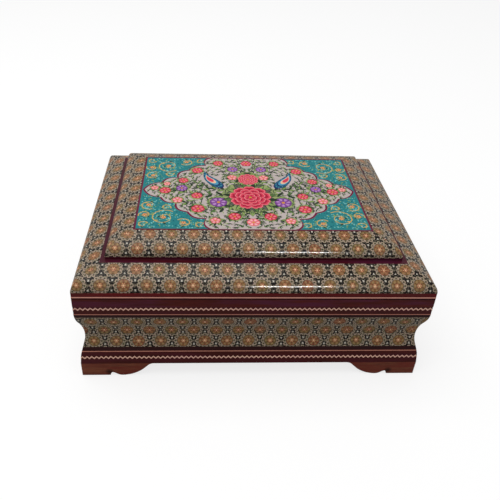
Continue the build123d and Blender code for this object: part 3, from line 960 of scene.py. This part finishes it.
def foot_arm(side, end):
    """One arm, from its mitre at the corner to the tip of its scroll under the apron."""
    outline = [(0, 0)] + smooth_path(NOTCH_KNOTS + BRACKET_KNOTS, 4) + [(0, FOOT_TOP[1])]
    outline = [(along, max(height, 0)) for along, height in outline]
    points = []
    for outer in (True, False):
        for along, height in outline:
            lean = (FOOT_TOE_INSET - FOOT_TOP[0]) * (1 - height / FOOT_TOP[1])
            inset = FOOT_TOP[0] + lean if outer else FOOT_BACK_INSET
            points.append(on_side(side, end, max(along, inset), inset, height))
    count = len(outline)
    faces = [list(range(count)), list(range(count, 2 * count))]
    for i in range(count):
        j = (i + 1) % count
        faces.append([i, j, count + j, count + i])
    neighbour = SIDE_NAMES[(side + end) % 4]
    name = f"foot_{SIDE_NAMES[side]}_{neighbour}"
    wood = veneers["foot_wood"]
    piece = make_piece(f"{name}_bracket", points, faces, wood, "box", "foot_wood", None, 0.8)
    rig.replaces(piece, name)


for side in range(4):
    for end in (-1, 1):
        foot_arm(side, end)

# Marquetry sheets: the spacing of the rosettes in a row, how far up the curve the first
# row lies, and where its first rosette is
SKIRT_FIT = {"spacing": 16.75, "first_row": 6.11, "shift": 0.22, "finish": lid_marquetry}
BORDER_FIT = {"spacing": 16.6, "first_row": 7.21, "shift": 0.68, "finish": lid_marquetry}
BODY_FIT = {"spacing": 17.2, "first_row": 5.46, "shift": 0.83, "finish": body_marquetry}
SIDE_SHIFTS = [0.0, 0.35, 0.15, 0.6]


def marquetry_sheets(kind, section, fit, body):
    """Four mitred sheets bent over one profile."""
    for side, side_name in enumerate(SIDE_NAMES):
        shift = fit["shift"] + SIDE_SHIFTS[side]

        def to_pattern(run, length):
            across = (length - fit["first_row"]) / fit["spacing"]
            return (run / fit["spacing"] - shift, across)

        points, faces, coordinates = mitred(section, [side], to_pattern)
        name = f"{kind}_marquetry_{side_name}"
        piece = make_piece(
            f"{name}_sheet", points, faces, fit["finish"], body, "marquetry", coordinates, 0.1
        )
        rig.replaces(piece, name)


# Each crown's nose radius and turn, then the radius and turn of its flat back
SKIRT_SHAPE = (9.0, 66.0, 93.0, 8.8)
BORDER_SHAPE = (8.0, 72.0, 137.0, 6.0)


def crown_sheets(kind, shape, fit):
    low, high = node_box(f"{kind}_marquetry_front")
    inset = HALF_DEPTH + low.y
    curve = crown_points(inset, low.z, *shape, 0.0)
    under = crown_points(inset, low.z, *shape, VENEER)
    marquetry_sheets(kind, curve + under[::-1], fit, "lid")
    return curve


skirt_curve = crown_sheets("skirt", SKIRT_SHAPE, SKIRT_FIT)
border_curve = crown_sheets("border", BORDER_SHAPE, BORDER_FIT)
marquetry_sheets("body", body_section(*band_levels("body_marquetry_front")), BODY_FIT, "box")

# Flat stringing and strips of the lid
Z_SKIRT = skirt_curve[0][1]
LEDGE_INSET, Z_LEDGE = skirt_curve[-1]
STEP_INSET, Z_BORDER = border_curve[0]
STRINGING_INSET, Z_TOP = border_curve[-1]
PICTURE_INSET = HALF_DEPTH - node_box("picture_panel")[1].y
z_rim_strip = node_box("lid_rim_strip")[0].z

rim_section = [(0, z_rim_strip), (0, Z_SKIRT), (VENEER, Z_SKIRT), (VENEER, z_rim_strip)]
ledge_section = [
    (LEDGE_INSET, Z_LEDGE),
    (STEP_INSET, Z_LEDGE),
    (STEP_INSET, Z_BORDER),
    (STEP_INSET + VENEER, Z_BORDER),
    (STEP_INSET + VENEER, Z_LEDGE - VENEER),
    (LEDGE_INSET, Z_LEDGE - VENEER),
]
picture_section = [
    (STRINGING_INSET, Z_TOP),
    (PICTURE_INSET, Z_TOP),
    (PICTURE_INSET, Z_TOP - VENEER),
    (STRINGING_INSET, Z_TOP - VENEER),
]
for name, section, veneer, replaced, rounding in (
    ("lid_rim_banding", rim_section, "crimson_stringing", "lid_rim_strip", 0.25),
    ("ledge_banding", ledge_section, "plum_ledge", "ledge_strip", 0.25),
    ("picture_banding", picture_section, "picture_line", "picture_stringing", 0.1),
):
    ring(name, section, veneers[veneer], "lid", "crimson_wood", replaced, rounding)

# Painted panel: outlines in paint, laid one over another. The panel's own millimetres
# run from its middle, x to the right and y to the back.


def directions(angle):
    """Unit vectors along an angle and to its left."""
    way = Vector((math.cos(angle), math.sin(angle)))
    return way, Vector((-way.y, way.x))


def teardrop(root, angle, length, width, lean=0.0, steps=7):
    """A petal or leaf from its root to its tip, leaning to one side as it goes."""
    way, side = directions(angle)
    near = []
    far = []
    for i in range(1, steps):
        part = i / steps
        half = width / 2 * math.sin(math.pi * part**0.8)
        middle = Vector(root) + way * length * part + side * lean * part * part
        near.append(middle - side * half)
        far.append(middle + side * half)
    tip = Vector(root) + way * length + side * lean
    return [tuple(point) for point in [Vector(root), *near, tip, *far[::-1]]]


HALF_PETAL = [(0.0, 0.3), (0.3, 0.72), (0.62, 1.0), (0.88, 0.82), (1.0, 0.4)]
OTHER_HALF = [(part, -spread) for part, spread in reversed(HALF_PETAL)]
PETAL_SHAPE = HALF_PETAL + [(0.94, 0.0)] + OTHER_HALF


def round_petal(centre, angle, start, end, width):
    """A broad petal with a slightly notched tip."""
    way, side = directions(angle)
    outline = []
    for part, spread in PETAL_SHAPE:
        point = Vector(centre) + way * (start + (end - start) * part) + side * spread * width / 2
        outline.append(tuple(point))
    return outline


def disc(centre, radius, corners=10):
    return [polar(centre, radius, 2 * math.pi * i / corners) for i in range(corners)]


def stroke(path, start_width, end_width):
    """A brush stroke along a path, tapering from one width to another."""
    left = []
    right = []
    for i, point in enumerate(path):
        before = Vector(path[max(i - 1, 0)])
        after = Vector(path[min(i + 1, len(path) - 1)])
        way = (after - before).normalized()
        side = Vector((-way.y, way.x))
        part = i / (len(path) - 1)
        half = (start_width + (end_width - start_width) * part) / 2
        left.append(tuple(Vector(point) + side * half))
        right.append(tuple(Vector(point) - side * half))
    return left + right[::-1]


def spiral(centre, radius, turns, start, hand):
    """A scroll that winds inward, starting at an angle in degrees."""
    steps = round(turns * 18)
    path = []
    for i in range(steps + 1):
        part = i / steps
        angle = math.radians(start) + hand * 2 * math.pi * turns * part
        path.append(polar(centre, radius * (1 - 0.86 * part), angle))
    return path


PAINTS = {
    "turquoise": rgb(40, 124, 128),
    "deep_turquoise": rgb(20, 92, 104),
    "spray": rgb(122, 192, 190),
    "gold": rgb(196, 162, 92),
    "amber": rgb(206, 146, 58),
    "outline": rgb(112, 24, 58),
    "cream": rgb(186, 174, 170),
    "rose": rgb(208, 62, 84),
    "deep_rose": rgb(164, 30, 58),
    "pink": rgb(232, 128, 136),
    "blush": rgb(242, 184, 184),
    "violet": rgb(132, 78, 150),
    "deep_violet": rgb(92, 46, 112),
    "lilac": rgb(180, 136, 192),
    "leaf": rgb(84, 116, 62),
    "dark_leaf": rgb(38, 54, 38),
    "moss": rgb(146, 158, 104),
    "grey_leaf": rgb(92, 92, 84),
    "light_leaf": rgb(136, 160, 90),
    "navy": rgb(30, 38, 88),
    "teal": rgb(22, 88, 118),
    "sky": rgb(78, 150, 180),
    "peach": rgb(232, 188, 156),
}


class Painting:
    """Outlines in paint; each hides what it lies on."""

    def __init__(self, half_width, half_height):
        self.half_width = half_width
        self.half_height = half_height
        self.outlines = []
        self.paints = []

    def lay(self, outline, paint):
        limit_x, limit_y = self.half_width, self.half_height
        inside = [
            (min(max(x, -limit_x), limit_x), min(max(y, -limit_y), limit_y)) for x, y in outline
        ]
        pairs = zip(inside, inside[1:] + inside[:1])
        area = sum(x * next_y - next_x * y for (x, y), (next_x, next_y) in pairs)
        self.outlines.append(inside if area > 0 else inside[::-1])
        self.paints.append(paint)

    def both(self, outline, paint):
        """Lays an outline and its mirror image to the left."""
        self.lay(outline, paint)
        self.lay([(-x, y) for x, y in outline], paint)

    def quarters(self, outline, paint):
        self.both(outline, paint)
        self.both([(x, -y) for x, y in outline], paint)

    def faces(self):
        """Splits the panel along every outline, and gives each facet the paint on top."""
        points = [Vector(point) for outline in self.outlines for point in outline]
        loops = []
        start = 0
        for outline in self.outlines:
            loops.append(list(range(start, start + len(outline))))
            start += len(outline)
        cut = delaunay_2d_cdt(points, [], loops, 1, 1e-4)
        paints = [self.paints[max(origins)] if origins else self.paints[0] for origins in cut[5]]
        return cut[0], cut[2], paints


def paint_peony(lay, centre, radius):
    """Rings of ruffled petals, red at the root and pale at the rim."""
    rings = [
        (9, 0.3, 1.0, 0.62, 0.0),
        (8, 0.2, 0.76, 0.52, 0.5),
        (6, 0.1, 0.54, 0.48, 0.2),
        (5, 0.02, 0.33, 0.32, 0.6),
    ]
    coats = [(0, 0, "deep_rose"), (0.3, 0.6, "pink"), (1.1, 1.6, "rose"), (2.6, 4.2, "deep_rose")]
    for count, start, end, width, twist in rings:
        for i in range(count):
            angle = 2 * math.pi * (i + twist) / count + math.pi / 2
            for shorter, narrower, paint in coats:
                reach = end * radius - shorter
                petal = round_petal(centre, angle, start * radius, reach, width * radius - narrower)
                lay(petal, paint)
    lay(disc(centre, 0.07 * radius, 8), "amber")


def paint_blossom(lay, centre, radius, petals, colours, twist=0.0):
    """A small open flower: dark rim, petals, lighter petal hearts and an eye."""
    rim, body, heart, eye = colours
    for i in range(petals):
        angle = 2 * math.pi * (i + twist) / petals
        lay(round_petal(centre, angle, 0.1 * radius, radius, radius * 0.92), rim)
        lay(round_petal(centre, angle, 0.15 * radius, radius * 0.93, radius * 0.76), body)
        lay(round_petal(centre, angle, 0.36 * radius, radius * 0.8, radius * 0.36), heart)
    lay(disc(centre, 0.2 * radius, 8), eye)


def paint_leaf(lay, root, angle, length, colour, lean=0.0):
    lay(teardrop(root, angle, length, length * 0.36, lean), "dark_leaf")
    inner = polar(root, 0.06 * length, angle)
    lay(teardrop(inner, angle, length * 0.86, length * 0.25, lean * 0.8), colour)


def paint_branch(lay, knots, length, colours, stem=0.7):
    """A stem with pairs of leaves that get smaller towards its end."""
    path = smooth_path(knots)
    lay(stroke(path, stem, stem * 0.5), "dark_leaf")
    for i in range(2, len(path) - 1, 2):
        way = Vector(path[i + 1]) - Vector(path[i - 1])
        heading = math.atan2(way.y, way.x)
        reach = length * (1.08 - 0.5 * i / len(path))
        for hand in (-1, 1):
            colour = colours[(i // 2 + (hand > 0)) % len(colours)]
            paint_leaf(lay, path[i], heading + hand * 0.85, reach, colour, -hand * reach * 0.16)
    paint_leaf(lay, path[-1], heading, length * 0.6, colours[0])


def paint_teardrop_motif(lay, centre, size, tilt):
    """A curled teardrop in nested colours, with a row of spots."""

    def curl(scale):
        outline = []
        for i in range(28):
            turn = 2 * math.pi * i / 28
            x = math.sin(turn) * (0.5 - 0.5 * math.cos(turn)) ** 0.55 * 0.42
            y = -math.cos(turn)
            bend = 0.34 * max(0.0, -y) ** 2.2
            x, y = x * scale - bend * scale, -y * scale + (1 - scale) * 0.22
            cos_tilt, sin_tilt = math.cos(tilt), math.sin(tilt)
            outline.append(
                (
                    centre[0] + size * (x * cos_tilt - y * sin_tilt),
                    centre[1] + size * (x * sin_tilt + y * cos_tilt),
                )
            )
        return outline

    coats = [(1.0, "navy"), (0.92, "teal"), (0.74, "navy"), (0.66, "sky"), (0.5, "peach")]
    for scale, colour in [*coats, (0.36, "rose")]:
        lay(curl(scale), colour)
    rim = curl(0.83)
    for i in range(1, 28, 2):
        lay(disc(rim[i], size * 0.026, 6), "spray")


def medallion_outline(shrink=0.0):
    """Cusped outline: arcs that bulge outward between the points of one quarter."""
    quarter = [(91, 0), (76, 12.5), (63, 21), (53, 34.5), (38, 44), (33, 60)]
    bulges = [0.16, 0.2, 0.24, 0.2, 0.22]
    edge = []
    for first, second, bulge in zip(quarter, quarter[1:], bulges):
        chord = Vector(second) - Vector(first)
        outward = Vector((chord.y, -chord.x)).normalized()
        for i in range(6):
            part = i / 6
            swell = outward * chord.length * bulge * math.sin(math.pi * part)
            edge.append(tuple(Vector(first) + chord * part + swell))
    edge.append(quarter[-1])
    shrunk = []
    for x, y in edge:
        reach = math.hypot(x, y)
        shrunk.append((x * (1 - shrink / reach), y * (1 - shrink / reach)))
    left = [(-x, y) for x, y in reversed(shrunk)]
    lower_left = [(-x, -y) for x, y in shrunk[1:]]
    lower_right = [(x, -y) for x, y in shrunk[:0:-1]]
    return shrunk + left + lower_left + lower_right


def paint_corners(picture, chance):
    """Turquoise ground with gold scrolls, small leaves and sprays of pale dots."""
    for i in range(900):
        x = chance.uniform(24, picture.half_width - 1.2)
        y = chance.uniform(4, picture.half_height - 1.2)
        if x / 96 + y / 68 > 0.86:
            colour = ("spray", "deep_turquoise", "spray", "deep_turquoise", "light_leaf")[i % 5]
            picture.quarters(disc((x, y), chance.uniform(0.35, 0.8), 6), colour)
    scrolls = [
        ((71, 42), 11.0, 1.5, -130, 1),
        ((84, 24), 6.8, 1.4, 120, -1),
        ((55, 49.5), 6.2, 1.35, -40, -1),
        ((42.5, 52.6), 4.2, 1.2, 200, 1),
        ((86.5, 52), 4.4, 1.2, -150, 1),
        ((86, 38.5), 5.2, 1.3, 20, -1),
        ((70, 27.5), 4.4, 1.2, 160, 1),
    ]
    for centre, radius, turns, start, hand in scrolls:
        path = spiral(centre, radius, turns, start, hand)
        picture.quarters(stroke(path, 1.0, 0.45), "gold")
        for i in range(2, len(path) - 4, 3):
            way = Vector(path[i + 1]) - Vector(path[i - 1])
            turned = 0.9 if i % 2 else -0.9
            heading = math.atan2(way.y, way.x) - hand * turned
            petal = teardrop(path[i], heading, 1.4 + radius * 0.2, 1.0 + radius * 0.05, 0, 5)
            picture.quarters(petal, ("gold", "light_leaf", "spray", "dark_leaf")[i % 4])
    for centre in ((71, 42), (84, 24), (55, 49.5), (86, 38.5)):
        colours = ("outline", "amber", "peach", "rose")
        paint_blossom(picture.quarters, centre, 2.2, 5, colours, 0.2)


def is_inside(spot, outline):
    """Whether a spot lies inside an outline, from the edges to its right."""
    inside = False
    for (x, y), (next_x, next_y) in zip(outline, outline[1:] + outline[:1]):
        if (y > spot.y) != (next_y > spot.y):
            crossing = x + (spot.y - y) / (next_y - y) * (next_x - x)
            inside = inside != (crossing > spot.x)
    return inside


def paint_sprigs(picture, chance, flowers):
    """Fans of dark brush strokes that fill the gaps between the flowers."""
    limit = medallion_outline(5.0)
    greens = ["dark_leaf", "leaf", "dark_leaf", "dark_leaf", "grey_leaf", "leaf", "moss"]
    spots = []
    for _ in range(5000):
        spot = Vector((chance.uniform(0.6, 88), chance.uniform(-56, 56)))
        crowded = any((spot - Vector(centre)).length < reach * 0.8 for centre, reach in flowers)
        crowded = crowded or any((spot - other).length < 3.7 for other in spots)
        if crowded or not is_inside(spot, limit):
            continue
        spots.append(spot)
        outward = math.atan2(spot.y + 11, spot.x) + chance.uniform(-0.5, 0.5)
        strokes = chance.choice((3, 4, 5))
        for i in range(strokes):
            angle = outward + (i / (strokes - 1) - 0.5) * 2.6
            length = chance.uniform(2.6, 4.2)
            width = chance.uniform(0.9, 1.4)
            leaf = teardrop(tuple(spot), angle, length, width, chance.uniform(-0.5, 0.5), 5)
            picture.both(leaf, greens[(i + len(spots)) % len(greens)])


VIOLETS = ("deep_violet", "violet", "lilac", "amber")
ROSES = ("deep_rose", "rose", "pink", "amber")
PINKS = ("rose", "pink", "blush", "amber")
PAIRED_FLOWERS = [
    ((27, -19), 7.4, 7, VIOLETS),
    ((13, 37), 5.0, 7, VIOLETS),
    ((58, 3), 5.0, 7, VIOLETS),
    ((44, -29), 5.6, 6, ROSES),
    ((14.5, -40), 5.2, 6, ROSES),
    ((45, -9), 4.8, 6, ROSES),
    ((72, -1), 5.0, 6, ROSES),
    ((26, 48), 4.6, 6, ROSES),
    ((45, 34), 5.0, 6, ROSES),
    ((57, 16), 4.4, 6, ROSES),
    ((30, -46), 4.2, 5, PINKS),
    ((61, -16), 4.4, 5, PINKS),
    ((14, 22), 4.4, 5, PINKS),
    ((81, 3), 3.4, 5, PINKS),
    ((71, 10), 3.0, 5, PINKS),
]


def paint_bouquet(picture):
    greens = ["leaf", "grey_leaf", "light_leaf", "dark_leaf"]
    middle = [((0, -11), 19), ((0, 20), 9.5), ((0, 48), 5), ((0, -48), 5.4), ((33, 18), 11)]
    paired = [flower[:2] for flower in PAIRED_FLOWERS]
    for centre, radius in middle[:2] + paired:
        for i in range(9):
            angle = 2 * math.pi * i / 9
            wash = round_petal(centre, angle, 0.2 * radius, 1.35 * radius, 0.9 * radius)
            picture.both(wash, "moss")
    paint_sprigs(picture, random.Random(11), middle + paired)
    branches = [
        ([(8, -12), (28, -8), (48, -6), (66, 0), (80, 0)], 8.5),
        ([(6, -16), (20, -27), (36, -30), (50, -24), (60, -14)], 8.0),
        ([(3, -20), (10, -36), (22, -45), (31, -50)], 7.5),
        ([(0, -22), (3, -38), (8, -52)], 6.5),
        ([(3, 4), (12, 16), (20, 32), (22, 48)], 7.5),
        ([(8, 0), (26, 2), (46, 12), (60, 14)], 7.5),
        ([(2, 14), (2, 30), (8, 42), (6, 52)], 6.5),
        ([(40, 0), (52, 8), (68, 8)], 6.5),
        ([(44, -16), (56, -20), (64, -12)], 6.5),
        ([(24, 2), (38, 4), (50, 22), (48, 34)], 6.0),
    ]
    for knots, length in branches:
        paint_branch(picture.both, knots, length, greens)
    paint_teardrop_motif(picture.both, (33, 17), 16.5, math.radians(-38))
    for centre, radius, petals, colours in PAIRED_FLOWERS:
        paint_blossom(picture.both, centre, radius, petals, colours, 0.2)
    paint_blossom(picture.lay, (0, 48), 5.0, 6, ROSES)
    paint_blossom(picture.lay, (0, -48), 5.4, 6, PINKS)
    for i in range(16):
        angle = 2 * math.pi * (i + 0.5) / 16
        root = polar((0, -11), 12, angle)
        paint_leaf(picture.lay, root, angle, 12.5, greens[i % 4])
    paint_peony(picture.lay, (0, 19), 9.5)
    paint_peony(picture.lay, (0, -11), 18.0)


def make_painted_panel():
    low, high = node_box("picture_panel")
    picture = Painting(high.x, high.y)
    edge = [(-high.x, -high.y), (high.x, -high.y), (high.x, high.y), (-high.x, high.y)]
    picture.lay(edge, "turquoise")
    paint_corners(picture, random.Random(7))
    picture.lay(medallion_outline(), "outline")
    picture.lay(medallion_outline(1.7), "cream")
    paint_bouquet(picture)
    points, faces, paints = picture.faces()

    mesh = bpy.data.meshes.new("painted_panel")
    mesh.from_pydata([(point.x, point.y, high.z) for point in points], [], faces)
    mesh.transform(Matrix.Scale(MM, 4))
    edit = bmesh.new()
    edit.from_mesh(mesh)
    colours = edit.loops.layers.float_color.new("paint")
    for face, name in zip(edit.faces, paints):
        for loop in face.loops:
            loop[colours] = PAINTS[name]
    rim = [side for side in edit.edges if side.is_boundary]
    walls = bmesh.ops.extrude_edge_only(edit, edges=rim)["geom"]
    for corner in (item for item in walls if isinstance(item, bmesh.types.BMVert)):
        corner.co.z = low.z * MM
    bottom = [side for side in edit.edges if side.is_boundary]
    bmesh.ops.edgeloop_fill(edit, edges=bottom)
    bmesh.ops.recalc_face_normals(edit, faces=edit.faces)
    edit.to_mesh(mesh)
    edit.free()
    mesh.materials.append(painted_finish)
    piece = add_object("painted_panel", mesh)
    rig.slot(piece, "painted_panel")
    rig.ride(piece, "lid")
    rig.replaces(piece, "picture_panel")


make_painted_panel()

# Velvet linings: cloth glued over the walls, with its edges rolled under
LINING = 1.2
EDGE_SHARE = 0.3
ROLL_STEPS = [0.0, 0.15, 0.5, 1.0, 1.6]
PAD_STEP = 6
PAD_WAVE = 0.14
CEILING_WAVE = 0.12
WALL_GAP = 0.05
COVE_RADIUS = 3.0
WALL_INSET = HALF_LENGTH - node_box("lining_front")[1].x


def pad_steps(length):
    """Distances across a cloth, close together where its edges roll."""
    roll = ROLL_STEPS[-1]
    count = round((length - 2 * roll) / PAD_STEP)
    middle = [roll + (length - 2 * roll) * i / count for i in range(1, count)]
    return ROLL_STEPS + middle + [length - step for step in reversed(ROLL_STEPS)]


def grid_faces(columns, rows, first=0):
    faces = []
    for row in range(rows - 1):
        for column in range(columns - 1):
            at = first + row * columns + column
            faces.append((at, at + 1, at + columns + 1, at + columns))
    return faces


def velvet_pad(node, width, height, to_place, rests_on):
    """A cloth of a width and height; to_place takes distances across, up and out from its back."""
    across = pad_steps(width)
    up = pad_steps(height)
    points = []
    for is_front in (True, False):
        for v in up:
            for u in across:
                edge = min(u, width - u, v, height - v, ROLL_STEPS[-1])
                roll = 1 - edge / ROLL_STEPS[-1]
                wave = PAD_WAVE * (1 + noise.noise(Vector(to_place(u, v, 0)) * 0.04))
                round_over = EDGE_SHARE + (1 - EDGE_SHARE) * math.sqrt(1 - roll * roll)
                out = LINING * round_over - wave * (1 - roll)
                points.append(to_place(u, v, out if is_front else 0.0))
    columns = len(across)
    rows = len(up)
    back = columns * rows
    faces = grid_faces(columns, rows) + grid_faces(columns, rows, back)
    rim = [(i, i + 1) for i in range(columns - 1)]
    rim += [(back - columns + i, back - columns + i + 1) for i in range(columns - 1)]
    for row in range(rows - 1):
        rim.append((row * columns, (row + 1) * columns))
        rim.append((row * columns + columns - 1, (row + 1) * columns + columns - 1))
    faces += [(a, b, back + b, back + a) for a, b in rim]
    piece = make_piece(f"{node}_velvet", points, faces, velvet, "box", "velvet")
    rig.replaces(piece, node)
    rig.sheet(piece, flat=(width * MM, height * MM), held="stretched", rests_on=[rests_on])


def line_box():
    low, high = band_levels("lining_front")
    for side, side_name in enumerate(SIDE_NAMES):
        start = WALL_INSET + (LINING + WALL_GAP if side % 2 else 0.0)
        width = 2 * ((HALF_DEPTH if side % 2 else HALF_LENGTH) - start)

        def to_wall(u, v, out):
            return on_side(side, 1, start + u, WALL_INSET + out, low + v)

        velvet_pad(f"lining_{side_name}", width, high - low, to_wall, f"wall_{side_name}")

    corner, far = node_box("lining_floor")
    size = far - corner
    velvet_pad(
        "lining_floor",
        size.x,
        size.y,
        lambda u, v, out: tuple(corner + Vector((u, v, out))),
        "bottom_board",
    )


def line_lid():
    """One cloth over the ceiling of the lid and down its sides, coved where they meet."""
    columns = 42
    rows = 30
    low, high = node_box("lid_lining")
    rim = node_box("lid_lining_sides")[0].z
    points = []
    faces = []

    def grid(inset, height, wave):
        """A level sheet; gives its border's points, in order round it."""
        first = len(points)
        for row in range(rows + 1):
            for column in range(columns + 1):
                x = (high.x - inset) * (2 * column / columns - 1)
                y = (high.y - inset) * (2 * row / rows - 1)
                lift = wave * (1 + noise.noise(Vector((x, y, 0)) * 0.035))
                is_edge = row in (0, rows) or column in (0, columns)
                points.append((x, y, height + (0 if is_edge else lift)))
        faces.extend(grid_faces(columns + 1, rows + 1, first))
        span = columns + 1
        border = [first + i for i in range(columns)]
        border += [first + i * span + columns for i in range(rows)]
        border += [first + rows * span + i for i in range(columns, 0, -1)]
        border += [first + i * span for i in range(rows, 0, -1)]
        return border

    def loop(inset, height):
        first = len(points)
        for side in range(4):
            count = rows if side % 2 else columns
            start = Vector(CORNERS[side])
            end = Vector(CORNERS[(side + 1) % 4])
            for i in range(count):
                spot = start + (end - start) * i / count
                points.append((spot.x * (high.x - inset), spot.y * (high.y - inset), height))
        return list(range(first, len(points)))

    section = [(0, rim + 0.4), (0.3, rim), (0.9, rim), (LINING, rim + 0.4)]
    section.append((LINING, low.z - COVE_RADIUS))
    for angle in (math.pi / 6, math.pi / 3):
        inset = LINING + COVE_RADIUS * (1 - math.cos(angle))
        section.append((inset, low.z - COVE_RADIUS * (1 - math.sin(angle))))
    borders = [grid(0, high.z, 0)]
    borders += [loop(inset, height) for inset, height in section]
    borders.append(grid(LINING + COVE_RADIUS, low.z, CEILING_WAVE))
    for border, after in zip(borders, borders[1:]):
        for i in range(len(border)):
            j = (i + 1) % len(border)
            faces.append((border[i], border[j], after[j], after[i]))
    piece = make_piece("lid_velvet", points, faces, velvet, "lid", "velvet")
    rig.replaces(piece, "lid_lining", "lid_lining_sides")
    drop = 2 * (low.z - rim)
    flat = ((2 * high.x + drop) * MM, (2 * high.y + drop) * MM)
    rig.sheet(piece, flat=flat, held="stretched", rests_on=["raised_panel"])


line_box()
line_lid()

# Hinge screws: slotted, three through each leaf
SCREW_RADIUS = 1.5
SCREW_PROUD = 0.13
SCREW_DEPTH = 0.3
SCREW_SLOT = 0.4
SLOT_FLOOR = 0.02
SLOT_FLOOR_RADIUS = 1.44
SCREW_ROW = 94.1
SCREW_SPACING = 8
HINGE_MIDDLE = 75
BOX_LEAF_TOP = 80.8
LID_LEAF_UNDERSIDE = 81.2


def screw(name, across, level, up, turn, body):
    """A countersunk head whose face looks up or down from a level."""
    cut = math.asin(SCREW_SLOT / 2 / SCREW_RADIUS)
    halves = []
    for start in (cut, math.pi + cut):
        sweep = math.pi - 2 * cut
        arc = [turn + start + sweep * i / 12 for i in range(13)]
        halves.append([polar((0, 0), SCREW_RADIUS, angle) for angle in arc])
    bed = disc((0, 0), SLOT_FLOOR_RADIUS, 24)
    points = []
    faces = []
    parts = ((halves[0], SCREW_PROUD), (halves[1], SCREW_PROUD), (bed, SLOT_FLOOR))
    for outline, face_height in parts:
        first = len(points)
        count = len(outline)
        for height in (-SCREW_DEPTH, face_height):
            points += [(across + x, SCREW_ROW + y, level + up * height) for x, y in outline]
        for i in range(count):
            j = (i + 1) % count
            faces.append((first + i, first + j, first + count + j, first + count + i))
        faces.append(list(range(first, first + count)))
        faces.append(list(range(first + count, first + 2 * count)))
    make_piece(name, points, faces, screw_brass, body, "brass", None, 0.05)


def hinge_screws():
    chance = random.Random(5)
    for hand, hinge in ((-1, "left"), (1, "right")):
        for i in range(3):
            across = hand * HINGE_MIDDLE + SCREW_SPACING * (i - 1)
            for body, level, up in (("box", BOX_LEAF_TOP, 1), ("lid", LID_LEAF_UNDERSIDE, -1)):
                turn = chance.uniform(0, math.pi)
                screw(f"hinge_{hinge}_{body}_screw_{i + 1}", across, level, up, turn, body)


hinge_screws()

NODE_FINISHES = {
    "body_rim_strip": veneers["purple_rim"],
    "lid_light_line": stringing["lid_line_stringing"],
    "bottom_board": board_wood,
    "raised_panel": board_wood,
}
for name, node in nodes.items():
    if name.startswith(("wall_", "lid_frame_")):
        NODE_FINISHES[name] = core_wood
    elif name.startswith("hinge_"):
        NODE_FINISHES[name] = brass
for name, finish in NODE_FINISHES.items():
    nodes[name].data.materials.clear()
    nodes[name].data.materials.append(finish)

# Studio: a white floor that keeps its shadow, a white surround, and two lamps
WHITE = (1.0, 1.0, 1.0, 1.0)
FLOOR_GREY = (0.5, 0.5, 0.5, 1.0)
FLOOR_HALF_WIDTH = 6.0
FLOOR_DROP = 0.1
AMBIENT = 0.46
GLOW_SHARE = 0.5
GLOW_LEVEL = 1.55
GLEAMING = ("skirt_marquetry_front_sheet", "border_marquetry_front_sheet")


def make_floor():
    mesh = bpy.data.meshes.new("floor")
    reach = FLOOR_HALF_WIDTH
    square = [(x * reach, y * reach, -FLOOR_DROP * MM) for x, y in CORNERS]
    mesh.from_pydata(square, [], [(0, 1, 2, 3)])
    floor = add_object("floor", mesh)
    shader = Shader("white_floor")
    shader.set({"Base Color": FLOOR_GREY, "Roughness": 0.9, "Specular IOR Level": 0.0})
    seen = shader.add("LightPath", {}, {}, "Is Camera Ray")
    glow = shader.add("Emission", {}, {"Color": WHITE, "Strength": GLOW_LEVEL})
    plain = Value(shader, shader.surface.outputs[0])
    mixed = shader.add("MixShader", {}, {0: seen * GLOW_SHARE, 1: plain, 2: glow})
    shader.connect(mixed, shader.tree.nodes["Material Output"].inputs[0])
    mesh.materials.append(shader.block)
    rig.stage(floor)


def make_surround():
    """White where it is seen, mirrored or looked through; dimmer as light on the box."""
    shader = Shader("surround", bpy.data.worlds, "Background")
    bpy.context.scene.world = shader.block
    rays = ("Is Camera Ray", "Is Glossy Ray", "Is Transmission Ray")
    camera, glossy, clear = [shader.add("LightPath", {}, {}, ray) for ray in rays]
    seen = camera.at_least(glossy.at_least(clear))
    shader.set({"Color": WHITE, "Strength": shader.spread(seen, 0.0, 1.0, AMBIENT, 1.0)})


def soft_lamp(name, place, target, size, watts, glosses=()):
    """A square of light. One with glosses only makes a gleam, and only on those pieces."""
    light = bpy.data.lights.new(name, "AREA")
    light.shape = "RECTANGLE"
    light.size, light.size_y = size
    light.energy = watts
    lamp = add_object(name, light)
    lamp.location = place
    aim = Vector(target) - Vector(place)
    lamp.rotation_mode = "QUATERNION"
    lamp.rotation_quaternion = aim.to_track_quat("-Z", "Y")
    if glosses:
        lamp.visible_diffuse = False
        lit = bpy.data.collections.new(f"{name}_gleam")
        for piece_name in glosses:
            lit.objects.link(bpy.data.objects[piece_name])
        lamp.light_linking.receiver_collection = lit


make_floor()
make_surround()
soft_lamp("overhead", (-0.4, 0.0, 1.6), (0, 0, 0.1), (1.4, 1.4), 17)
soft_lamp("strip", (0.275, -1.43, 0.78), (0, -0.1, 0.09), (0.28, 0.2), 22, GLEAMING)

bpy.context.scene.view_settings.view_transform = "Standard"

visual_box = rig.bounds()
with open("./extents.json", "w") as report:
    boxes = {"cad": [list(corner) for corner in cad_box]}
    boxes["visual"] = [list(corner) for corner in visual_box]
    json.dump(boxes, report)
